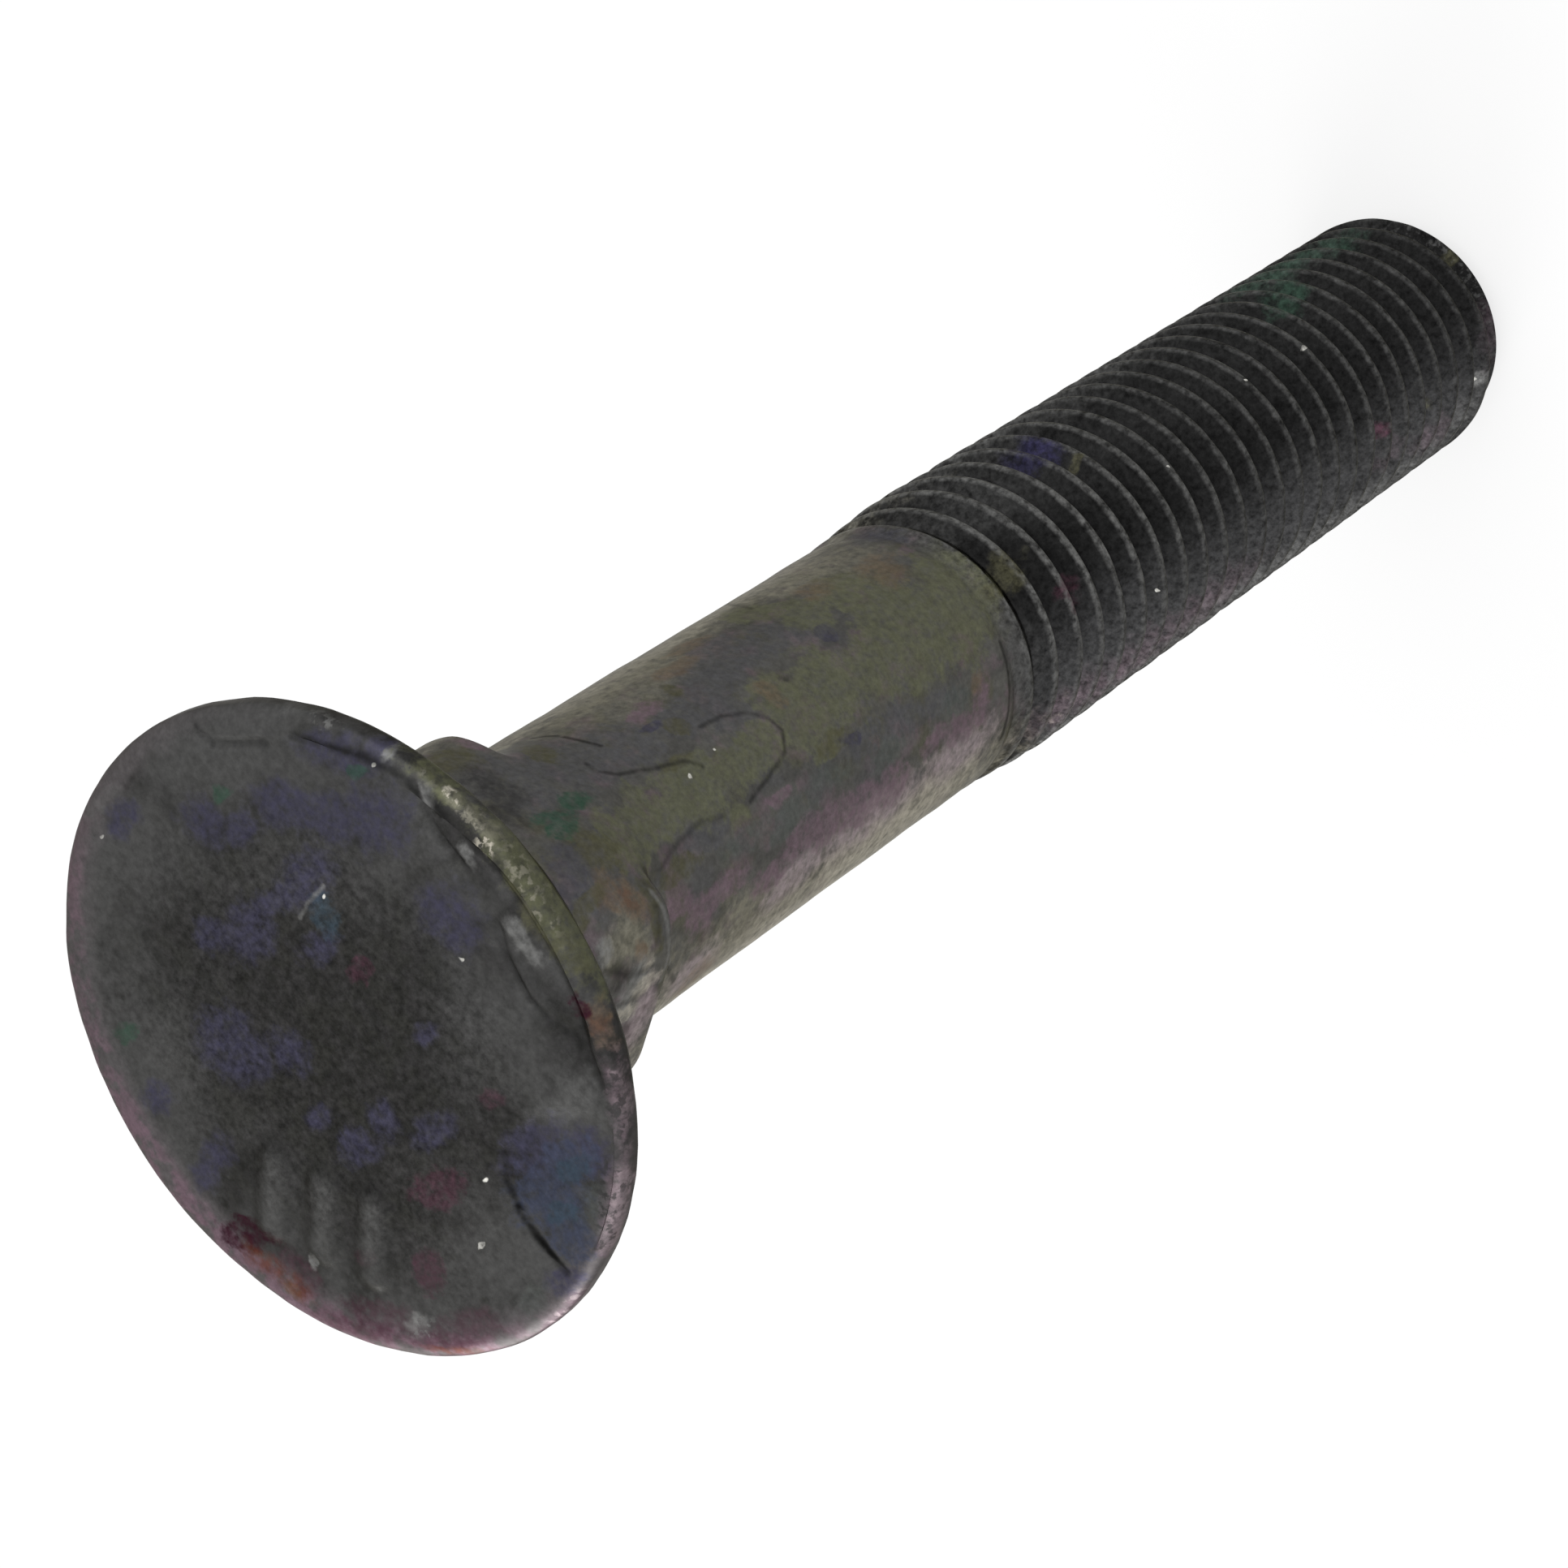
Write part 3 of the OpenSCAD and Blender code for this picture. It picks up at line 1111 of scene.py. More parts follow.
@dataclass(frozen=True)
class BodyFinish(Finish):
    """Oiled steel of the neck and shank, and the black thread with rubbed crests, its grooves painted
    lighter on its lit side.

    Each drop is a pair of distances below the thread's start, from where a look
    starts to where it is full. The low and high of the rubbed crests are a gain and
    a level each: how far the steel stands out of the shank where a crest begins to
    be rubbed and where it is bright.
    """

    form: BoltForm = field(kw_only=True)
    # Where the thread's lit side is: painted light that greys its grooves and dulls its crests
    lit_side: Film = field(kw_only=True)
    lit_side_size: float = 0.8
    lit_side_fray: float = 0.5
    lit_side_dulls: float = 0.45
    speckle: Pair = (0.3, 1.7)
    mottle: Patches = Patches(0.8, 0.3, 0.7, detail=4.0)
    streak: Point = (1.0, 1.0, 0.3)
    stains: tuple[tuple[Patches, Tint], ...] = (
        (Patches(2.2, 0.5, 0.65, 0.45), Tint.OLIVE_DEEP),
        (Patches(1.5, 0.5, 0.65, 0.45), Tint.MAUVE),
        (Patches(1.8, 0.5, 0.65, 0.45), Tint.ASH),
    )
    start_size: float = 1.0
    start_fray: float = 1.4
    start_drop: Pair = (1.1, 1.9)
    calm_drop: Pair = (3.0, 1.0)
    calm_share: float = 0.7
    relief_drop: Pair = (0.0, 2.0)
    relief_gain: float = 3.0
    shallow_drop: Pair = (2.6, 1.8)
    bright_drop: Pair = (22.0, 6.0)
    rubbed_low: Pair = (0.34, -0.06)
    rubbed_high: Pair = (0.42, 0.02)
    rubbed_fray: float = 0.14
    rubbed: Patches = Patches(0.4, 0.2, 0.6, detail=5.0)
    point_heights: Pair = (1.0, 9.0)
    point_share: float = 0.45

    def place(self, graph: Graph, at: Socket) -> Socket:
        """Return the places of the unrolled side."""
        return graph.unrolled(at)

    def below(self, graph: Graph, height: Socket, drop: Pair, top: float = 1.0) -> Socket:
        """Return a smooth step over a drop below the thread's start."""
        first, last = (self.form.thread_length - distance for distance in drop)
        return graph.fade(height, first, last, top)

    def calm(self, graph: Graph, at: Socket) -> Socket:
        """Return more on the shank, where the oil lies smooth."""
        return self.below(graph, graph.height(at), self.calm_drop, self.calm_share)

    def relief(self, graph: Graph, at: Socket) -> Socket:
        """Return the fine relief, rougher on the thread.

        Args:
            graph: Material to add to.
            at: Places in the marked frame.

        Returns:
            The height.
        """
        fine = super().relief(graph, at)
        level = self.below(graph, graph.height(at), self.relief_drop, self.relief_gain)
        return graph.math("MULTIPLY_ADD", fine, level, fine)

    def bright(self, graph: Graph, at: Socket, height: Socket) -> Socket:
        """Return where the thread's crests stand out far enough to be rubbed.

        Args:
            graph: Material to add to.
            at: Places in the marked frame.
            height: Height of each place.

        Returns:
            A mask, from 0 to 1.
        """
        start = self.form.thread_length
        climb = graph.ramp(height, (start, start - self.form.runout))
        eased = graph.math("MULTIPLY", climb, graph.math("SUBTRACT", 2.0, climb))
        full = graph.math("MULTIPLY", climb, eased)
        fray = graph.math("MULTIPLY", full, self.rubbed_fray)
        worn = graph.math("MULTIPLY", graph.grain(at, self.fray_size, 4.0), fray)
        rise = graph.math("ADD", graph.math("SUBTRACT", graph.radius(at), self.form.shank_radius), worn)
        low = graph.math("MULTIPLY_ADD", full, *self.rubbed_low)
        high = graph.math("MULTIPLY_ADD", full, *self.rubbed_high)
        return graph.fade(rise, low, high)

    def rolled(self, graph: Graph, at: Socket, place: Socket, height: Socket) -> Socket:
        """Return the thread's colour, dark in the grooves, painted lighter on its lit side, and rubbed grey
        on the crests.

        Args:
            graph: Material to add to.
            at: Places in the marked frame.
            place: Places of the unrolled side.
            height: Height of each place.

        Returns:
            The colour.
        """
        # On the lit side the grooves are painted a lighter grey and the rubbed crests dulled: painted light
        shift = graph.swing(graph.grain(at, self.lit_side_size, 4.0), self.lit_side_fray)
        lit_side = graph.inside(place, self.lit_side, shift)
        lit_grooves = graph.mix(lit_side, Tint.SOOT, self.lit_side.tint)
        groove = graph.mix(self.below(graph, height, self.shallow_drop), lit_grooves, Tint.SHANK_DARK)
        crest = graph.mix(self.below(graph, height, self.bright_drop), Tint.CREST, Tint.CREST_PALE)
        climb = graph.fade(height, *self.point_heights)
        end = graph.math("MULTIPLY_ADD", climb, 1.0 - self.point_share, self.point_share)
        even = graph.math("MULTIPLY_ADD", lit_side, -self.lit_side_dulls, end)
        kept = graph.math("MULTIPLY", graph.patches(at, self.rubbed), even)
        return graph.mix(graph.math("MULTIPLY", self.bright(graph, at, height), kept), groove, crest)

    def base(self, graph: Graph, at: Socket, place: Socket) -> Socket:
        """Return the warm grey of the shank in long streaks, and the thread's black.

        Args:
            graph: Material to add to.
            at: Places in the marked frame.
            place: Places of the unrolled side.

        Returns:
            The colour.
        """
        height = graph.height(at)
        streaks = graph.vector("MULTIPLY", at, self.streak).outputs[0]
        plain = graph.mix(graph.patches(streaks, self.mottle), Tint.SHANK_DARK, Tint.SHANK_GREY)
        for stain, tint in self.stains:
            plain = graph.mix(graph.patches(at, stain), plain, tint)
        shaken = graph.math("MULTIPLY_ADD", graph.grain(at, self.start_size), self.start_fray, height)
        on_thread = self.below(graph, shaken, self.start_drop)
        return graph.mix(on_thread, plain, self.rolled(graph, at, place, height))


def face_films() -> tuple[Film, ...]:
    """Return the temper films and stains of the face, and pale spots along its edge that are partly painted
    highlights.
    """
    violet = on_face(
        (-2.3, 9.7, 1.0, 0.5), (1.0, 7.9, 0.9, 0.9), (2.2, 7.1, 0.8, 0.5), (4.4, 7.0, 1.3, 0.8, -30.0),
        (5.8, 5.9, 1.6, 0.8, -30.0), (7.9, 7.2, 1.5, 0.6, -38.0), (9.4, 6.8, 0.6, 0.5),
        (7.6, 4.9, 1.3, 1.1), (-1.9, 5.0, 0.8, 0.6), (-0.2, 4.4, 1.2, 0.9), (1.7, 4.7, 1.3, 0.5),
        (3.6, 4.8, 1.3, 0.7), (2.3, 2.8, 1.1, 0.5), (-4.2, 2.1, 1.3, 0.9), (-3.9, 1.2, 1.5, 0.8, -15.0),
        (-1.9, 0.5, 0.8, 0.7), (8.0, 1.1, 1.1, 1.0), (-8.3, -1.2, 1.4, 0.6, 15.0), (-8.7, 1.5, 0.8, 0.5),
        (-2.6, -1.8, 0.7, 0.4, -20.0), (-1.7, -3.4, 1.0, 0.6), (0.1, -3.0, 0.7, 0.6), (1.9, -4.2, 1.1, 0.5),
        (4.2, -1.5, 0.6, 0.3), (5.3, -6.3, 1.6, 0.8), (7.2, -7.3, 0.8, 0.9), (3.0, -10.4, 0.8, 0.4),
    )
    return (
        Film(Tint.HEAD_PALE, 0.8, on_face(
            (-7.9, 4.8, 2.1, 4.0), (-2.6, 8.6, 3.2, 1.6), (3.0, 9.4, 3.0, 1.6), (-1.0, -8.6, 3.4, 1.4),
            (-8.7, -0.6, 0.9, 1.6), (7.8, -5.8, 1.6, 1.0), (1.8, -9.0, 1.6, 1.6), (8.8, 4.4, 0.9, 2.4),
        ), 1.3),
        Film(Tint.HEAD_PALE, 0.5, on_face((6.9, -2.9, 2.0, 2.4), (5.8, 5.6, 4.0, 2.6)), 1.3),
        Film(Tint.HEAD_DARK, 0.7, on_face(
            (-2.2, -4.5, 0.9, 0.6), (-5.6, -7.4, 1.1, 0.6, 40.0), (-6.3, -1.9, 1.2, 0.6),
        ), 1.0),
        Film(Tint.CHALK, 0.16, on_face(
            (7.8, -5.6, 1.2, 0.6, 10.0), (7.0, 9.3, 1.0, 0.3, -40.0), (-3.0, 10.6, 1.4, 0.3),
        ), 0.9),
        Film(Tint.VIOLET, 0.85, violet, 0.9),
        Film(Tint.BLUE, 0.85, on_face((4.6, -8.0, 1.5, 1.4), (6.0, -7.3, 1.4, 0.8), (4.3, -9.3, 1.0, 0.9))),
        Film(Tint.TEAL, 0.7, on_face((3.4, 3.5, 0.7, 0.8), (4.6, -8.6, 0.7, 0.5), (6.2, -7.5, 0.9, 0.4))),
        Film(Tint.MOSS, 0.45, on_face((6.1, -9.1, 1.1, 0.7, 30.0), (1.4, -10.4, 0.9, 0.4)), 0.8),
        Film(Tint.WINE, 0.7, on_face(
            (0.7, -5.8, 1.3, 0.6, -15.0), (3.3, 1.2, 0.6, 0.35), (-2.1, -8.0, 0.9, 0.6, 30.0),
        )),
        Film(Tint.WINE, 0.55, on_face(
            (5.0, -4.4, 0.5, 0.3), (-4.3, -6.6, 0.5, 0.3), (-7.8, -5.9, 0.7, 1.1, 30.0),
            (-5.4, -8.6, 1.6, 0.7, -38.0), (-2.2, -10.2, 1.8, 0.6, -12.0),
        ), 0.8),
        Film(Tint.GREEN, 0.75, on_face(
            (-8.2, 3.9, 0.6, 0.4), (2.4, 8.4, 0.5, 0.25), (8.3, 6.5, 0.45, 0.25),
        )),
        # Pale spots along the face's edge: painted highlights, partly scuffs
        Film(Tint.CHALK, 0.7, on_face(
            (9.9, 2.3, 0.26, 0.5), (10.0, -0.5, 0.42, 0.8), (9.9, 4.5, 0.2, 0.4), (9.4, 6.4, 0.2, 0.2),
            (-4.1, -9.3, 0.6, 0.3),
        ), 0.9),
    )


def rim_films() -> tuple[Film, ...]:
    """Return the films, rust and rubbed edges of the head's rim, with painted glints and highlights on its
    band and lower edge.
    """
    return (
        Film(Tint.BAND, 0.9, (
            Blotch((11.9, 0.4, 79.2), (1.15, 6.0, 1.8)),
            Blotch((10.7, 5.2, 79.2), (0.9, 1.7, 1.5), 24.0),
        ), 0.5),
        # Cream flecks on the band: painted glints
        Film(Tint.CREAM, 0.7, on_face(
            (10.4, 5.2, 0.6, 0.9, 24.0), (11.2, 3.6, 0.6, 1.9), (11.4, 0.4, 0.5, 2.2),
            (11.7, -1.8, 0.4, 1.2),
        ), 1.0, flecks=True),
        Film(Tint.OLIVE_DEEP, 0.6, on_face((10.8, -0.6, 0.3, 1.6), (11.3, -2.2, 0.4, 1.2)), 0.9),
        # Chalk flecks: painted highlights
        Film(Tint.CHALK, 0.6, on_face(
            (10.4, 5.2, 0.4, 0.6), (7.8, 8.6, 1.2, 0.3, -42.0), (-4.0, -9.5, 0.8, 0.4),
        ), 0.8, flecks=True),
        # Cream on the band: painted highlight
        Film(Tint.CREAM, 0.6, on_face((10.9, 4.6, 0.4, 0.8), (11.2, 3.2, 0.3, 0.9)), 0.9),
        # Bone flecks: painted glints
        Film(Tint.BONE, 0.9, on_face(
            (10.8, 2.4, 0.35, 0.45), (10.5, 4.6, 0.2, 0.9, 20.0), (10.0, 5.6, 0.3, 0.6, 28.0),
        ), 0.7, flecks=True),
        Film(Tint.AMBER, 0.8, on_face((10.9, -4.4, 0.6, 1.1), (-8.6, -6.2, 0.4, 0.5)), 0.8),
        Film(Tint.WINE_DARK, 0.95, on_face((-8.9, -3.9, 1.4, 0.6, -15.0), (10.4, -3.4, 0.4, 0.5))),
        Film(Tint.WINE, 0.6, on_face((-6.8, -8.4, 2.2, 0.5, -39.0), (-3.6, -10.4, 1.6, 0.5, -22.0)), 1.1),
        Film(Tint.RUST, 0.75, on_face(
            (-9.0, -5.1, 0.5, 0.9, 25.0), (-8.3, -6.3, 0.5, 0.8, 30.0), (-3.4, -10.6, 1.2, 0.16, -20.0),
        ), 1.2),
        Film(Tint.RUST, 0.4, on_face((10.6, -4.2, 0.3, 0.35)), 0.9),
        Film(Tint.ROSE, 0.7, on_face(
            (6.9, -9.2, 2.6, 0.5, 37.0), (9.7, -6.4, 2.0, 0.5, 56.0), (2.1, -11.4, 2.6, 0.4, 10.0),
        ), 1.0),
        # Blush along the rim's lower edge: painted highlight
        Film(Tint.BLUSH, 0.5, on_face((6.9, -9.2, 2.6, 0.3, 37.0), (9.7, -6.4, 2.0, 0.3, 56.0)), 0.9),
        Film(Tint.HEAD_GREY, 0.8, on_face(
            (6.7, -9.0, 2.6, 0.5, 37.0), (9.5, -6.3, 2.0, 0.5, 56.0),
        ), 1.0, flecks=True),
        # Blush along the rim's lower edge: painted highlight
        Film(Tint.BLUSH, 0.8, on_face((2.1, -11.4, 2.6, 0.4, 10.0)), 1.0, flecks=True),
    )


def face_specks() -> tuple[Film, ...]:
    """Return the painted glints and a chalky speck of the face."""
    return (
        Film(Tint.GLINT, 0.9, on_face(
            (0.8, -8.15, 0.2, 0.11), (2.7, -6.45, 0.14, 0.08), (7.4, 0.0, 0.1, 0.06),
        )),
        Film(Tint.GLINT, 0.9, on_face(
            (-3.6, 9.6, 0.13, 0.07), (3.8, 4.0, 0.08, 0.06), (8.9, 6.4, 0.07, 0.08),
        )),
        Film(Tint.CHALK, 0.8, on_face((-6.7, -5.9, 0.3, 0.25))),
    )


def head_finish(strokes: list[Line]) -> HeadFinish:
    """Return the head's finish, with its films, folds, specks and painted glints, highlights and shade, and
    its raised strokes.

    Args:
        strokes: Ends of the middle line of each raised stroke.

    Returns:
        The finish.
    """
    films = (*face_films(), *rim_films(), *face_specks())
    bars = [face_line(*bar) for bar in strokes]
    traces = (
        # Painted shadow round each raised stroke, and along its top a paler line that is rubbing and painted
        # highlight
        *(Trace(Tint.SOOT, 0.6, 1.3, bar) for bar in bars),
        *(Trace(Tint.CHALK, 0.3, 0.75, bar) for bar in bars),
        # Dark lines along the folds; along the third, at the face's edge, they are painted shade
        *(Trace(Tint.SOOT, 0.9, 0.27, face_line(*fold)) for fold in FOLDS),
        # Painted shade in the flap's fold
        Trace(Tint.FOLD_SHADE, 0.7, 0.2, face_line(*FOLDS[-1])),
        Trace(Tint.FOLD_SHADE, 1.0, 0.27, face_line(*FOLDS[-1][2:])),
        Trace(Tint.CHALK, 0.6, 0.14, face_line((2.3, 3.8), (3.0, 4.1), (4.0, 4.2))),
        Trace(Tint.SOOT, 0.35, 0.35, face_line((0.3, 9.6), (-0.3, 8.6))),
    )
    return HeadFinish("forged_head", films, traces)


def shank_films() -> tuple[Film, ...]:
    """Return the oil and temper films of the neck and shank, with painted highlights down its sides and on
    the neck's facets, and painted glints.
    """
    grey = on_side(
        (38.0, 71.0, 1.9, 1.5), (38.0, 68.0, 1.6, 1.6), (34.0, 65.3, 1.4, 1.5), (29.0, 62.6, 1.0, 1.4),
        (27.0, 61.0, 1.2, 1.3), (38.0, 59.2, 1.2, 1.5), (42.0, 57.3, 1.3, 1.4), (38.0, 55.6, 0.9, 1.4),
        (31.0, 53.8, 0.5, 1.3), (-12.0, 65.2, 0.5, 1.2), (-16.0, 55.4, 0.6, 1.4), (-19.0, 53.0, 0.6, 1.6),
        (-22.0, 50.6, 0.5, 1.6), (-9.0, 72.4, 0.7, 0.7),
    )
    olive = on_side(
        (1.0, 69.4, 1.2, 1.2), (3.0, 67.3, 1.2, 1.8), (3.0, 64.6, 1.2, 1.8), (-14.0, 63.3, 0.4, 0.6),
        (1.0, 62.0, 0.75, 1.6), (3.0, 60.2, 0.9, 1.0), (4.0, 57.8, 2.0, 1.6), (-13.0, 57.6, 0.5, 1.0),
        (9.0, 55.5, 1.6, 1.5), (5.0, 53.0, 1.4, 1.8), (9.0, 50.6, 2.4, 1.9), (14.0, 49.0, 2.4, 1.5),
        (3.0, 47.6, 1.8, 1.4), (12.0, 45.7, 2.4, 1.4), (55.0, 54.2, 1.5, 0.9), (40.0, 53.2, 1.3, 1.2),
        (4.0, 44.9, 0.9, 0.7), (36.0, 50.6, 1.4, 1.4),
    )
    mauve = on_side(
        (-32.0, 67.8, 0.5, 0.9), (-40.0, 66.6, 0.7, 1.0), (-36.0, 65.0, 0.5, 1.3), (-42.0, 62.3, 0.5, 1.4),
        (-37.0, 60.4, 0.7, 1.3), (-39.0, 58.5, 0.8, 1.5), (-39.0, 56.2, 0.9, 1.6), (-41.0, 54.2, 0.8, 1.2),
        (-36.0, 51.2, 0.45, 0.9), (-38.0, 49.3, 0.6, 1.1), (-34.0, 47.7, 0.9, 0.6), (-16.0, 61.0, 0.25, 0.6),
        (41.0, 63.2, 0.4, 0.9), (62.0, 70.0, 0.5, 0.4),
    )
    return (
        # Cream, blush and bone down both sides of the shank, where it turns away: painted highlights
        Film(Tint.CREAM, 0.6, on_side((52.0, 62.5, 1.0, 4.0), (50.0, 49.5, 1.3, 2.6)), 1.2),
        Film(Tint.CREAM, 1.0, on_side(
            (78.0, 58.0, 1.5, 14.0), (64.0, 62.0, 0.8, 4.6), (64.0, 50.5, 1.1, 3.2),
            (-72.0, 63.0, 2.2, 7.0), (-74.0, 54.0, 2.4, 9.0), (-50.0, 63.8, 0.8, 1.4),
        ), 1.0),
        Film(Tint.BLUSH, 0.95, on_side(
            (-51.0, 60.5, 0.9, 1.9), (-50.0, 55.5, 1.0, 3.4), (-50.0, 49.5, 0.9, 2.6),
            (-64.0, 66.6, 0.8, 1.4),
        ), 1.1),
        Film(Tint.BONE, 0.9, on_side((-66.0, 53.0, 1.0, 5.0), (-82.0, 60.0, 0.9, 10.0)), 1.2),
        Film(Tint.BONE, 0.45, on_side((-68.0, 61.0, 0.9, 5.0), (74.0, 58.0, 0.7, 11.0)), 1.2),
        Film(Tint.ASH, 0.9, grey, 0.45),
        Film(Tint.MOSS, 0.7, on_side(
            (-24.0, 63.6, 0.5, 1.4), (-25.0, 61.2, 0.6, 1.4), (-23.0, 58.2, 0.5, 1.6),
            (-27.0, 54.0, 0.5, 1.4), (-26.0, 49.4, 0.6, 0.9),
        ), 0.7),
        Film(Tint.MAUVE, 0.9, mauve, 0.6),
        Film(Tint.OLIVE, 0.95, olive, 0.45),
        Film(Tint.OLIVE_DEEP, 0.8, on_side(
            (3.0, 71.3, 0.8, 1.2), (26.0, 63.1, 0.5, 0.5), (48.0, 68.2, 0.8, 0.6), (42.0, 61.2, 0.5, 0.4),
            (-18.0, 67.2, 0.4, 1.2), (14.0, 64.4, 0.3, 0.8), (-12.0, 57.0, 0.5, 1.2),
            (60.0, 71.5, 0.8, 1.0),
        )),
        # Cream on the neck's corner: painted highlight
        Film(Tint.CREAM, 0.9, on_side(
            (-24.0, 71.9, 0.8, 0.8), (-29.0, 71.2, 0.6, 0.6), (-24.0, 73.1, 0.5, 0.5),
        ), 0.8),
        Film(Tint.AMBER, 0.8, on_side(
            (-9.0, 71.8, 0.6, 0.7), (-15.0, 71.0, 0.7, 0.6), (-30.0, 71.4, 0.3, 0.4),
        ), 0.8),
        Film(Tint.RUST, 0.35, on_side((-14.0, 71.3, 0.4, 0.35)), 0.9),
        Film(Tint.OLIVE_DEEP, 0.85, on_side((-16.0, 70.1, 0.7, 0.35), (-26.0, 70.4, 0.8, 0.3)), 0.8),
        Film(Tint.AMBER, 0.7, on_side(
            (51.0, 59.8, 0.45, 1.2), (60.0, 57.8, 0.5, 1.1), (46.0, 51.2, 0.6, 1.0), (36.0, 48.0, 0.9, 1.1),
            (16.0, 58.1, 0.6, 0.5), (-24.0, 47.9, 0.4, 0.4), (-70.0, 66.0, 0.7, 1.2),
        ), 0.8),
        Film(Tint.HEAD_GREY, 0.8, on_side(
            (42.0, 71.8, 1.0, 0.9), (-34.0, 72.6, 0.5, 0.5), (18.0, 57.0, 0.2, 0.2), (30.0, 72.6, 0.8, 0.6),
        ), 0.9),
        Film(Tint.CREST, 0.8, on_side((-32.0, 45.1, 2.4, 0.6), (50.0, 45.2, 1.8, 0.8)), 0.5),
        Film(Tint.CREST, 0.4, on_side((48.0, 44.2, 2.2, 1.3), (-32.0, 44.2, 2.0, 1.2)), 1.2),
        Film(Tint.VIOLET, 0.7, on_side(
            (26.0, 53.4, 0.4, 0.5), (34.0, 63.8, 0.25, 0.5), (-14.0, 56.0, 0.3, 0.5),
        )),
        Film(Tint.HEAD_PALE, 0.8, on_side((3.0, 72.7, 0.8, 0.9), (-3.0, 73.5, 0.7, 0.8)), 0.6),
        Film(Tint.VIOLET, 0.35, on_side((3.0, 72.7, 0.8, 0.9), (-3.0, 73.5, 0.7, 0.8)), 0.6),
        Film(Tint.OLIVE_DEEP, 0.8, on_side((-8.0, 72.9, 0.25, 1.3), (-12.0, 73.8, 0.3, 0.6)), 0.6),
        Film(Tint.GREEN, 0.95, on_side((18.0, 71.4, 0.7, 0.9), (21.0, 69.8, 0.4, 0.9))),
        # Blush, chalk and bone on the neck's lower facets: painted highlights
        Film(Tint.BLUSH, 0.9, on_side((-50.0, 70.6, 0.9, 0.6), (-60.0, 70.4, 1.0, 0.8)), 0.9),
        Film(Tint.CHALK, 0.9, on_side(
            (-22.0, 73.3, 0.4, 0.4), (-39.0, 71.4, 0.6, 0.6), (-47.0, 72.3, 0.7, 1.2),
        ), 0.9),
        Film(Tint.BONE, 0.8, on_side(
            (-43.0, 70.9, 0.35, 0.8), (-49.0, 71.9, 0.3, 0.9), (-36.0, 70.9, 0.2, 0.3),
        ), 0.9),
        Film(Tint.GLINT, 0.9, on_side((7.0, 64.5, 0.06, 0.08), (9.0, 62.5, 0.05, 0.06))),
    )


def thread_films() -> tuple[Film, ...]:
    """Return the films of the thread and the point, with painted sheen down the thread's sides and painted
    highlights and glints.
    """
    return (
        Film(Tint.OLIVE_DEEP, 0.8, on_side(
            (6.0, 42.8, 0.7, 1.0), (2.0, 44.6, 0.25, 0.6), (30.0, 34.4, 0.2, 0.4),
        ), 0.8),
        Film(Tint.WINE, 0.8, on_side(
            (-13.0, 40.4, 0.45, 0.8), (-20.0, 40.4, 0.4, 0.5), (-37.0, 13.4, 0.4, 0.5),
        ), 0.8),
        Film(Tint.INDIGO, 0.9, on_side((46.0, 35.3, 0.9, 1.4), (48.0, 34.4, 0.9, 0.7)), 0.8),
        Film(Tint.VIOLET, 0.4, on_side((54.0, 45.6, 1.2, 0.7)), 0.8),
        # Grey down one side of the thread: painted sheen
        Film(Tint.CREST, 0.35, on_side(
            (66.0, 32.0, 1.0, 13.0), (66.0, 8.0, 1.0, 9.0), (44.0, 40.5, 1.8, 2.6),
        ), 1.3),
        Film(Tint.CREST, 0.6, on_side((10.0, 1.0, 4.6, 1.1), (-40.0, 1.6, 1.6, 1.4)), 1.0, flecks=True),
        Film(Tint.OLIVE_DEEP, 0.6, on_side((16.0, 1.0, 0.3, 0.9), (-42.0, 8.6, 0.4, 0.5)), 0.8),
        # Chalk at the point's edge: painted highlight
        Film(Tint.CHALK, 0.7, on_side((-46.0, 2.4, 0.4, 0.5)), 0.9),
        Film(Tint.GREEN, 0.6, on_side(
            (40.0, 14.0, 0.6, 1.2), (48.0, 12.2, 0.9, 1.3), (60.0, 4.8, 1.0, 1.8), (68.0, 9.0, 1.0, 4.0),
        ), 0.9),
        Film(Tint.MAUVE, 0.3, on_side(
            (-66.0, 41.0, 1.0, 3.0), (-68.0, 35.0, 1.0, 5.0), (-64.0, 29.0, 1.0, 4.0),
            (-52.0, 12.0, 0.6, 1.0), (-60.0, 7.0, 0.8, 2.0), (-28.0, 1.4, 1.4, 0.9),
        ), 1.2),
        # Pale down both sides of the thread and at the point: painted sheen
        Film(Tint.CHALK, 0.25, on_side(
            (-62.0, 3.0, 1.0, 2.5), (-74.0, 16.0, 0.9, 14.0), (80.0, 30.0, 0.8, 16.0),
        ), 1.3),
        Film(Tint.GLINT, 0.9, on_side(
            (15.0, 16.65, 0.13, 0.13), (20.0, 21.8, 0.06, 0.06), (6.0, 30.7, 0.05, 0.1),
            (-46.0, 2.8, 0.12, 0.12), (-38.0, 34.2, 0.08, 0.06),
        )),
    )


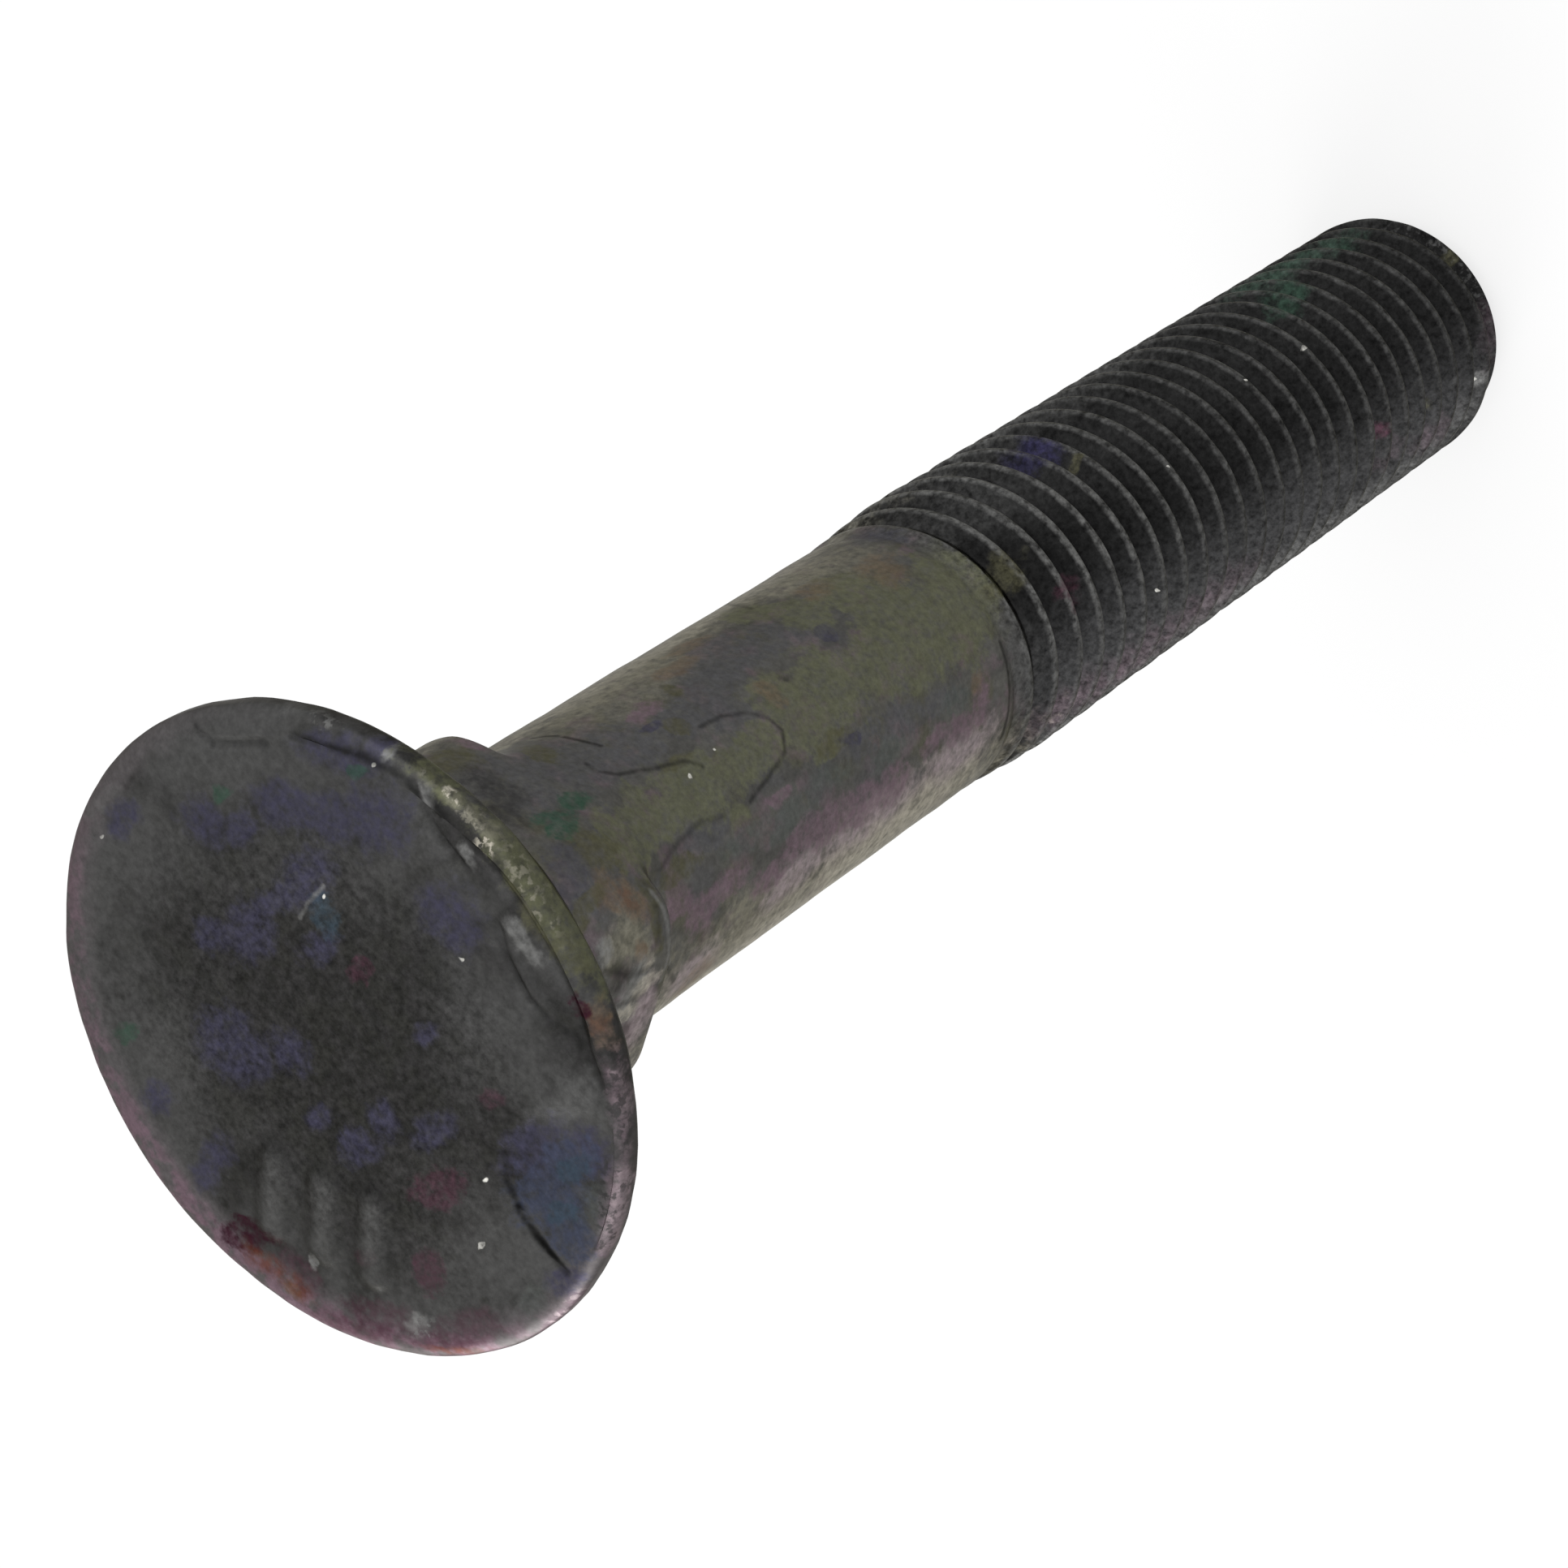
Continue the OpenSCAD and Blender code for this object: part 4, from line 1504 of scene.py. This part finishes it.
def body_finish(form: BoltForm) -> BodyFinish:
    """Return the finish of everything under the head.

    Args:
        form: Sizes of the bolt, for the heights at which the thread starts and ends.

    Returns:
        The finish.
    """
    dark = (
        side_line((61.0, 66.9), (54.0, 66.5), (46.0, 66.4), (37.0, 66.15)),
        side_line((33.0, 67.5), (28.0, 67.5), (22.0, 66.9), (18.0, 65.6), (13.0, 64.0), (8.0, 63.6)),
        side_line(
            (21.0, 62.2), (20.0, 60.9), (16.0, 59.9), (10.0, 59.3), (3.0, 59.1), (-4.0, 59.6), (-8.0, 60.9),
            (-12.0, 62.4),
        ),
        side_line((80.0, 52.6), (70.0, 53.3), (58.0, 53.8)),
    )
    # Lines along the neck's end and just below it, where painted highlights lie
    pale = (
        side_line((-16.0, 70.0), (-24.0, 69.85), (-34.0, 69.8), (-46.0, 69.9)),
        side_line((-30.0, 68.7), (-42.0, 68.6), (-50.0, 68.4)),
    )
    traces = (
        *(Trace(Tint.SOOT, strength, 0.18, line) for strength, line in zip((0.75, 0.65, 0.6, 0.5), dark)),
        Trace(Tint.SOOT, 0.4, 0.2, side_line((-14.0, 68.4), (-11.0, 67.2), (-8.0, 65.2), (-11.0, 64.0))),
        *(Trace(Tint.SOOT, 0.5, 0.25, side_line(*crease)) for crease in CREASES),
        Trace(Tint.SOOT, 0.7, 0.2, side_line((-16.0, 45.6), (-34.0, 45.65), (-58.0, 46.0))),
        Trace(Tint.SOOT, 0.35, 0.3, side_line((-13.0, 70.0), (-20.0, 70.2), (-30.0, 70.4))),
        Trace(Tint.SOOT, 0.5, 0.2, side_line((-46.0, 68.9), (-56.0, 68.2), (-62.0, 67.8))),
        # Painted highlights along the neck's end
        *(Trace(Tint.CHALK, 0.55, 0.18, line) for line in pale),
    )
    # The thread's lit side, where its grooves are painted lighter: painted light
    lit_side = Film(Tint.LIT_GROOVE, 1.0, on_side(
        (-48.0, 38.0, 2.3, 9.0), (-50.0, 22.0, 2.2, 12.0), (-48.0, 8.0, 2.3, 8.0),
    ), 1.9)
    films = (*shank_films(), *thread_films())
    return BodyFinish("oiled_body", films, traces, grain_depth=0.003, form=form, lit_side=lit_side)


@dataclass(frozen=True)
class Lamp:
    """A soft round lamp: where it hangs, in degrees and metres, its width and its watts."""

    azimuth: float
    elevation: float
    distance: float
    size: float
    power: float


@dataclass(frozen=True)
class Studio:
    """Pale floor, soft lamps and the camera, in metres and degrees."""

    floor_size: float = 3.0
    floor_white: float = 0.9
    floor_glow: float = 0.75
    world_level: float = 0.8
    lens: float = 89.1
    aim: Point = (0.0007, 0.0012, 0.0545)
    distance: float = 0.1437
    azimuth: float = 149.83
    elevation: float = 48.47
    roll: float = 124.3
    lamps: tuple[Lamp, ...] = (
        Lamp(-150.0, 60.0, 0.7, 0.5, 1.2),
        Lamp(60.0, 40.0, 0.8, 0.6, 1.0),
        Lamp(10.0, 12.0, 0.6, 0.4, 3.0),
    )

    def direction(self, azimuth: float, elevation: float) -> Vector:
        """Return the unit vector towards an azimuth and elevation."""
        turn, rise = math.radians(azimuth), math.radians(elevation)
        return Vector((math.cos(turn) * math.cos(rise), math.sin(turn) * math.cos(rise), math.sin(rise)))

    def add_camera(self) -> bpy.types.Object:
        """Make the camera that looks down on the standing bolt."""
        data = bpy.data.cameras.new("camera")
        data.lens = self.lens
        data.clip_start = 0.005
        camera = bpy.data.objects.new("camera", data)
        bpy.context.scene.collection.objects.link(camera)
        back = self.direction(self.azimuth, self.elevation)
        side = Vector((0.0, 0.0, 1.0)).cross(back).normalized()
        upright = back.cross(side)
        turn = math.radians(self.roll)
        up = upright * math.cos(turn) + side * math.sin(turn)
        right = up.cross(back)
        place = Vector(self.aim) + back * self.distance
        camera.matrix_world = Matrix.Translation(place) @ Matrix((right, up, back)).transposed().to_4x4()
        bpy.context.scene.camera = camera
        return camera

    def add_lamps(self) -> None:
        """Hang the soft lamps round the bolt, aimed at its middle."""
        for number, lamp in enumerate(self.lamps):
            data = bpy.data.lights.new(f"lamp_{number}", "AREA")
            data.shape = "DISK"
            data.size = lamp.size
            data.energy = lamp.power
            hung = bpy.data.objects.new(f"lamp_{number}", data)
            bpy.context.scene.collection.objects.link(hung)
            back = self.direction(lamp.azimuth, lamp.elevation)
            hung.location = Vector(self.aim) + back * lamp.distance
            hung.rotation_euler = back.to_track_quat("Z", "Y").to_euler()

    def seen(self, tree: bpy.types.NodeTree) -> Socket:
        """Return 1 for rays from the camera and for those that metal and glass send out.

        Args:
            tree: Node tree to add to.

        Returns:
            The share, 0 or 1.
        """
        path = tree.nodes.new("ShaderNodeLightPath")
        total = path.outputs["Is Camera Ray"]
        for name in ("Is Glossy Ray", "Is Transmission Ray"):
            both = tree.nodes.new("ShaderNodeMath")
            both.operation = "MAXIMUM"
            tree.links.new(total, both.inputs[0])
            tree.links.new(path.outputs[name], both.inputs[1])
            total = both.outputs[0]
        return total

    def add_floor(self) -> None:
        """Lay the pale floor, which glows to the camera so that it stays white."""
        mesh = bpy.data.meshes.new("floor")
        half = self.floor_size / 2.0
        corners = [(-half, -half, 0.0), (half, -half, 0.0), (half, half, 0.0), (-half, half, 0.0)]
        mesh.from_pydata(corners, [], [(0, 1, 2, 3)])
        floor = bpy.data.objects.new("floor", mesh)
        bpy.context.scene.collection.objects.link(floor)
        material = bpy.data.materials.new("pale_floor")
        material.use_nodes = True
        tree = material.node_tree
        tree.nodes.clear()
        matt = tree.nodes.new("ShaderNodeBsdfDiffuse")
        matt.inputs["Color"].default_value = (self.floor_white,) * 3 + (1.0,)
        glow = tree.nodes.new("ShaderNodeEmission")
        share = tree.nodes.new("ShaderNodeMath")
        share.operation = "MULTIPLY"
        share.inputs[1].default_value = self.floor_glow
        tree.links.new(self.seen(tree), share.inputs[0])
        blend = tree.nodes.new("ShaderNodeMixShader")
        tree.links.new(share.outputs[0], blend.inputs[0])
        tree.links.new(matt.outputs[0], blend.inputs[1])
        tree.links.new(glow.outputs[0], blend.inputs[2])
        output = tree.nodes.new("ShaderNodeOutputMaterial")
        tree.links.new(blend.outputs[0], output.inputs["Surface"])
        mesh.materials.append(material)

    def add_world(self) -> None:
        """Set a white world that lights matt surfaces more weakly than it looks."""
        world = bpy.data.worlds.new("world")
        world.use_nodes = True
        tree = world.node_tree
        tree.nodes.clear()
        level = tree.nodes.new("ShaderNodeMapRange")
        level.inputs["To Min"].default_value = self.world_level
        tree.links.new(self.seen(tree), level.inputs["Value"])
        sky = tree.nodes.new("ShaderNodeBackground")
        tree.links.new(level.outputs[0], sky.inputs["Strength"])
        output = tree.nodes.new("ShaderNodeOutputWorld")
        tree.links.new(sky.outputs[0], output.inputs["Surface"])
        sky.inputs["Color"].default_value = (1.0, 1.0, 1.0, 1.0)
        bpy.context.scene.world = world


def main() -> None:
    """Build the bolt, dress it and light it."""
    form = BoltForm(length=(cad_high.z - cad_low.z) / MM, head_radius=cad_high.x / MM)
    relief = Relief(form)
    body = BoltMesh(form, relief).build()
    for finish in (head_finish(relief.stroke_ends()), body_finish(form)):
        body.data.materials.append(finish.material())
    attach(body, "root")
    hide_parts(NODE)
    LOG.info("%s has %d points", body.name, len(body.data.vertices))
    studio = Studio()
    studio.add_world()
    studio.add_floor()
    studio.add_lamps()
    studio.add_camera()
    bpy.context.scene.view_settings.view_transform = "Standard"


if __name__ == "__main__":
    logging.basicConfig(level=logging.INFO)
    main()
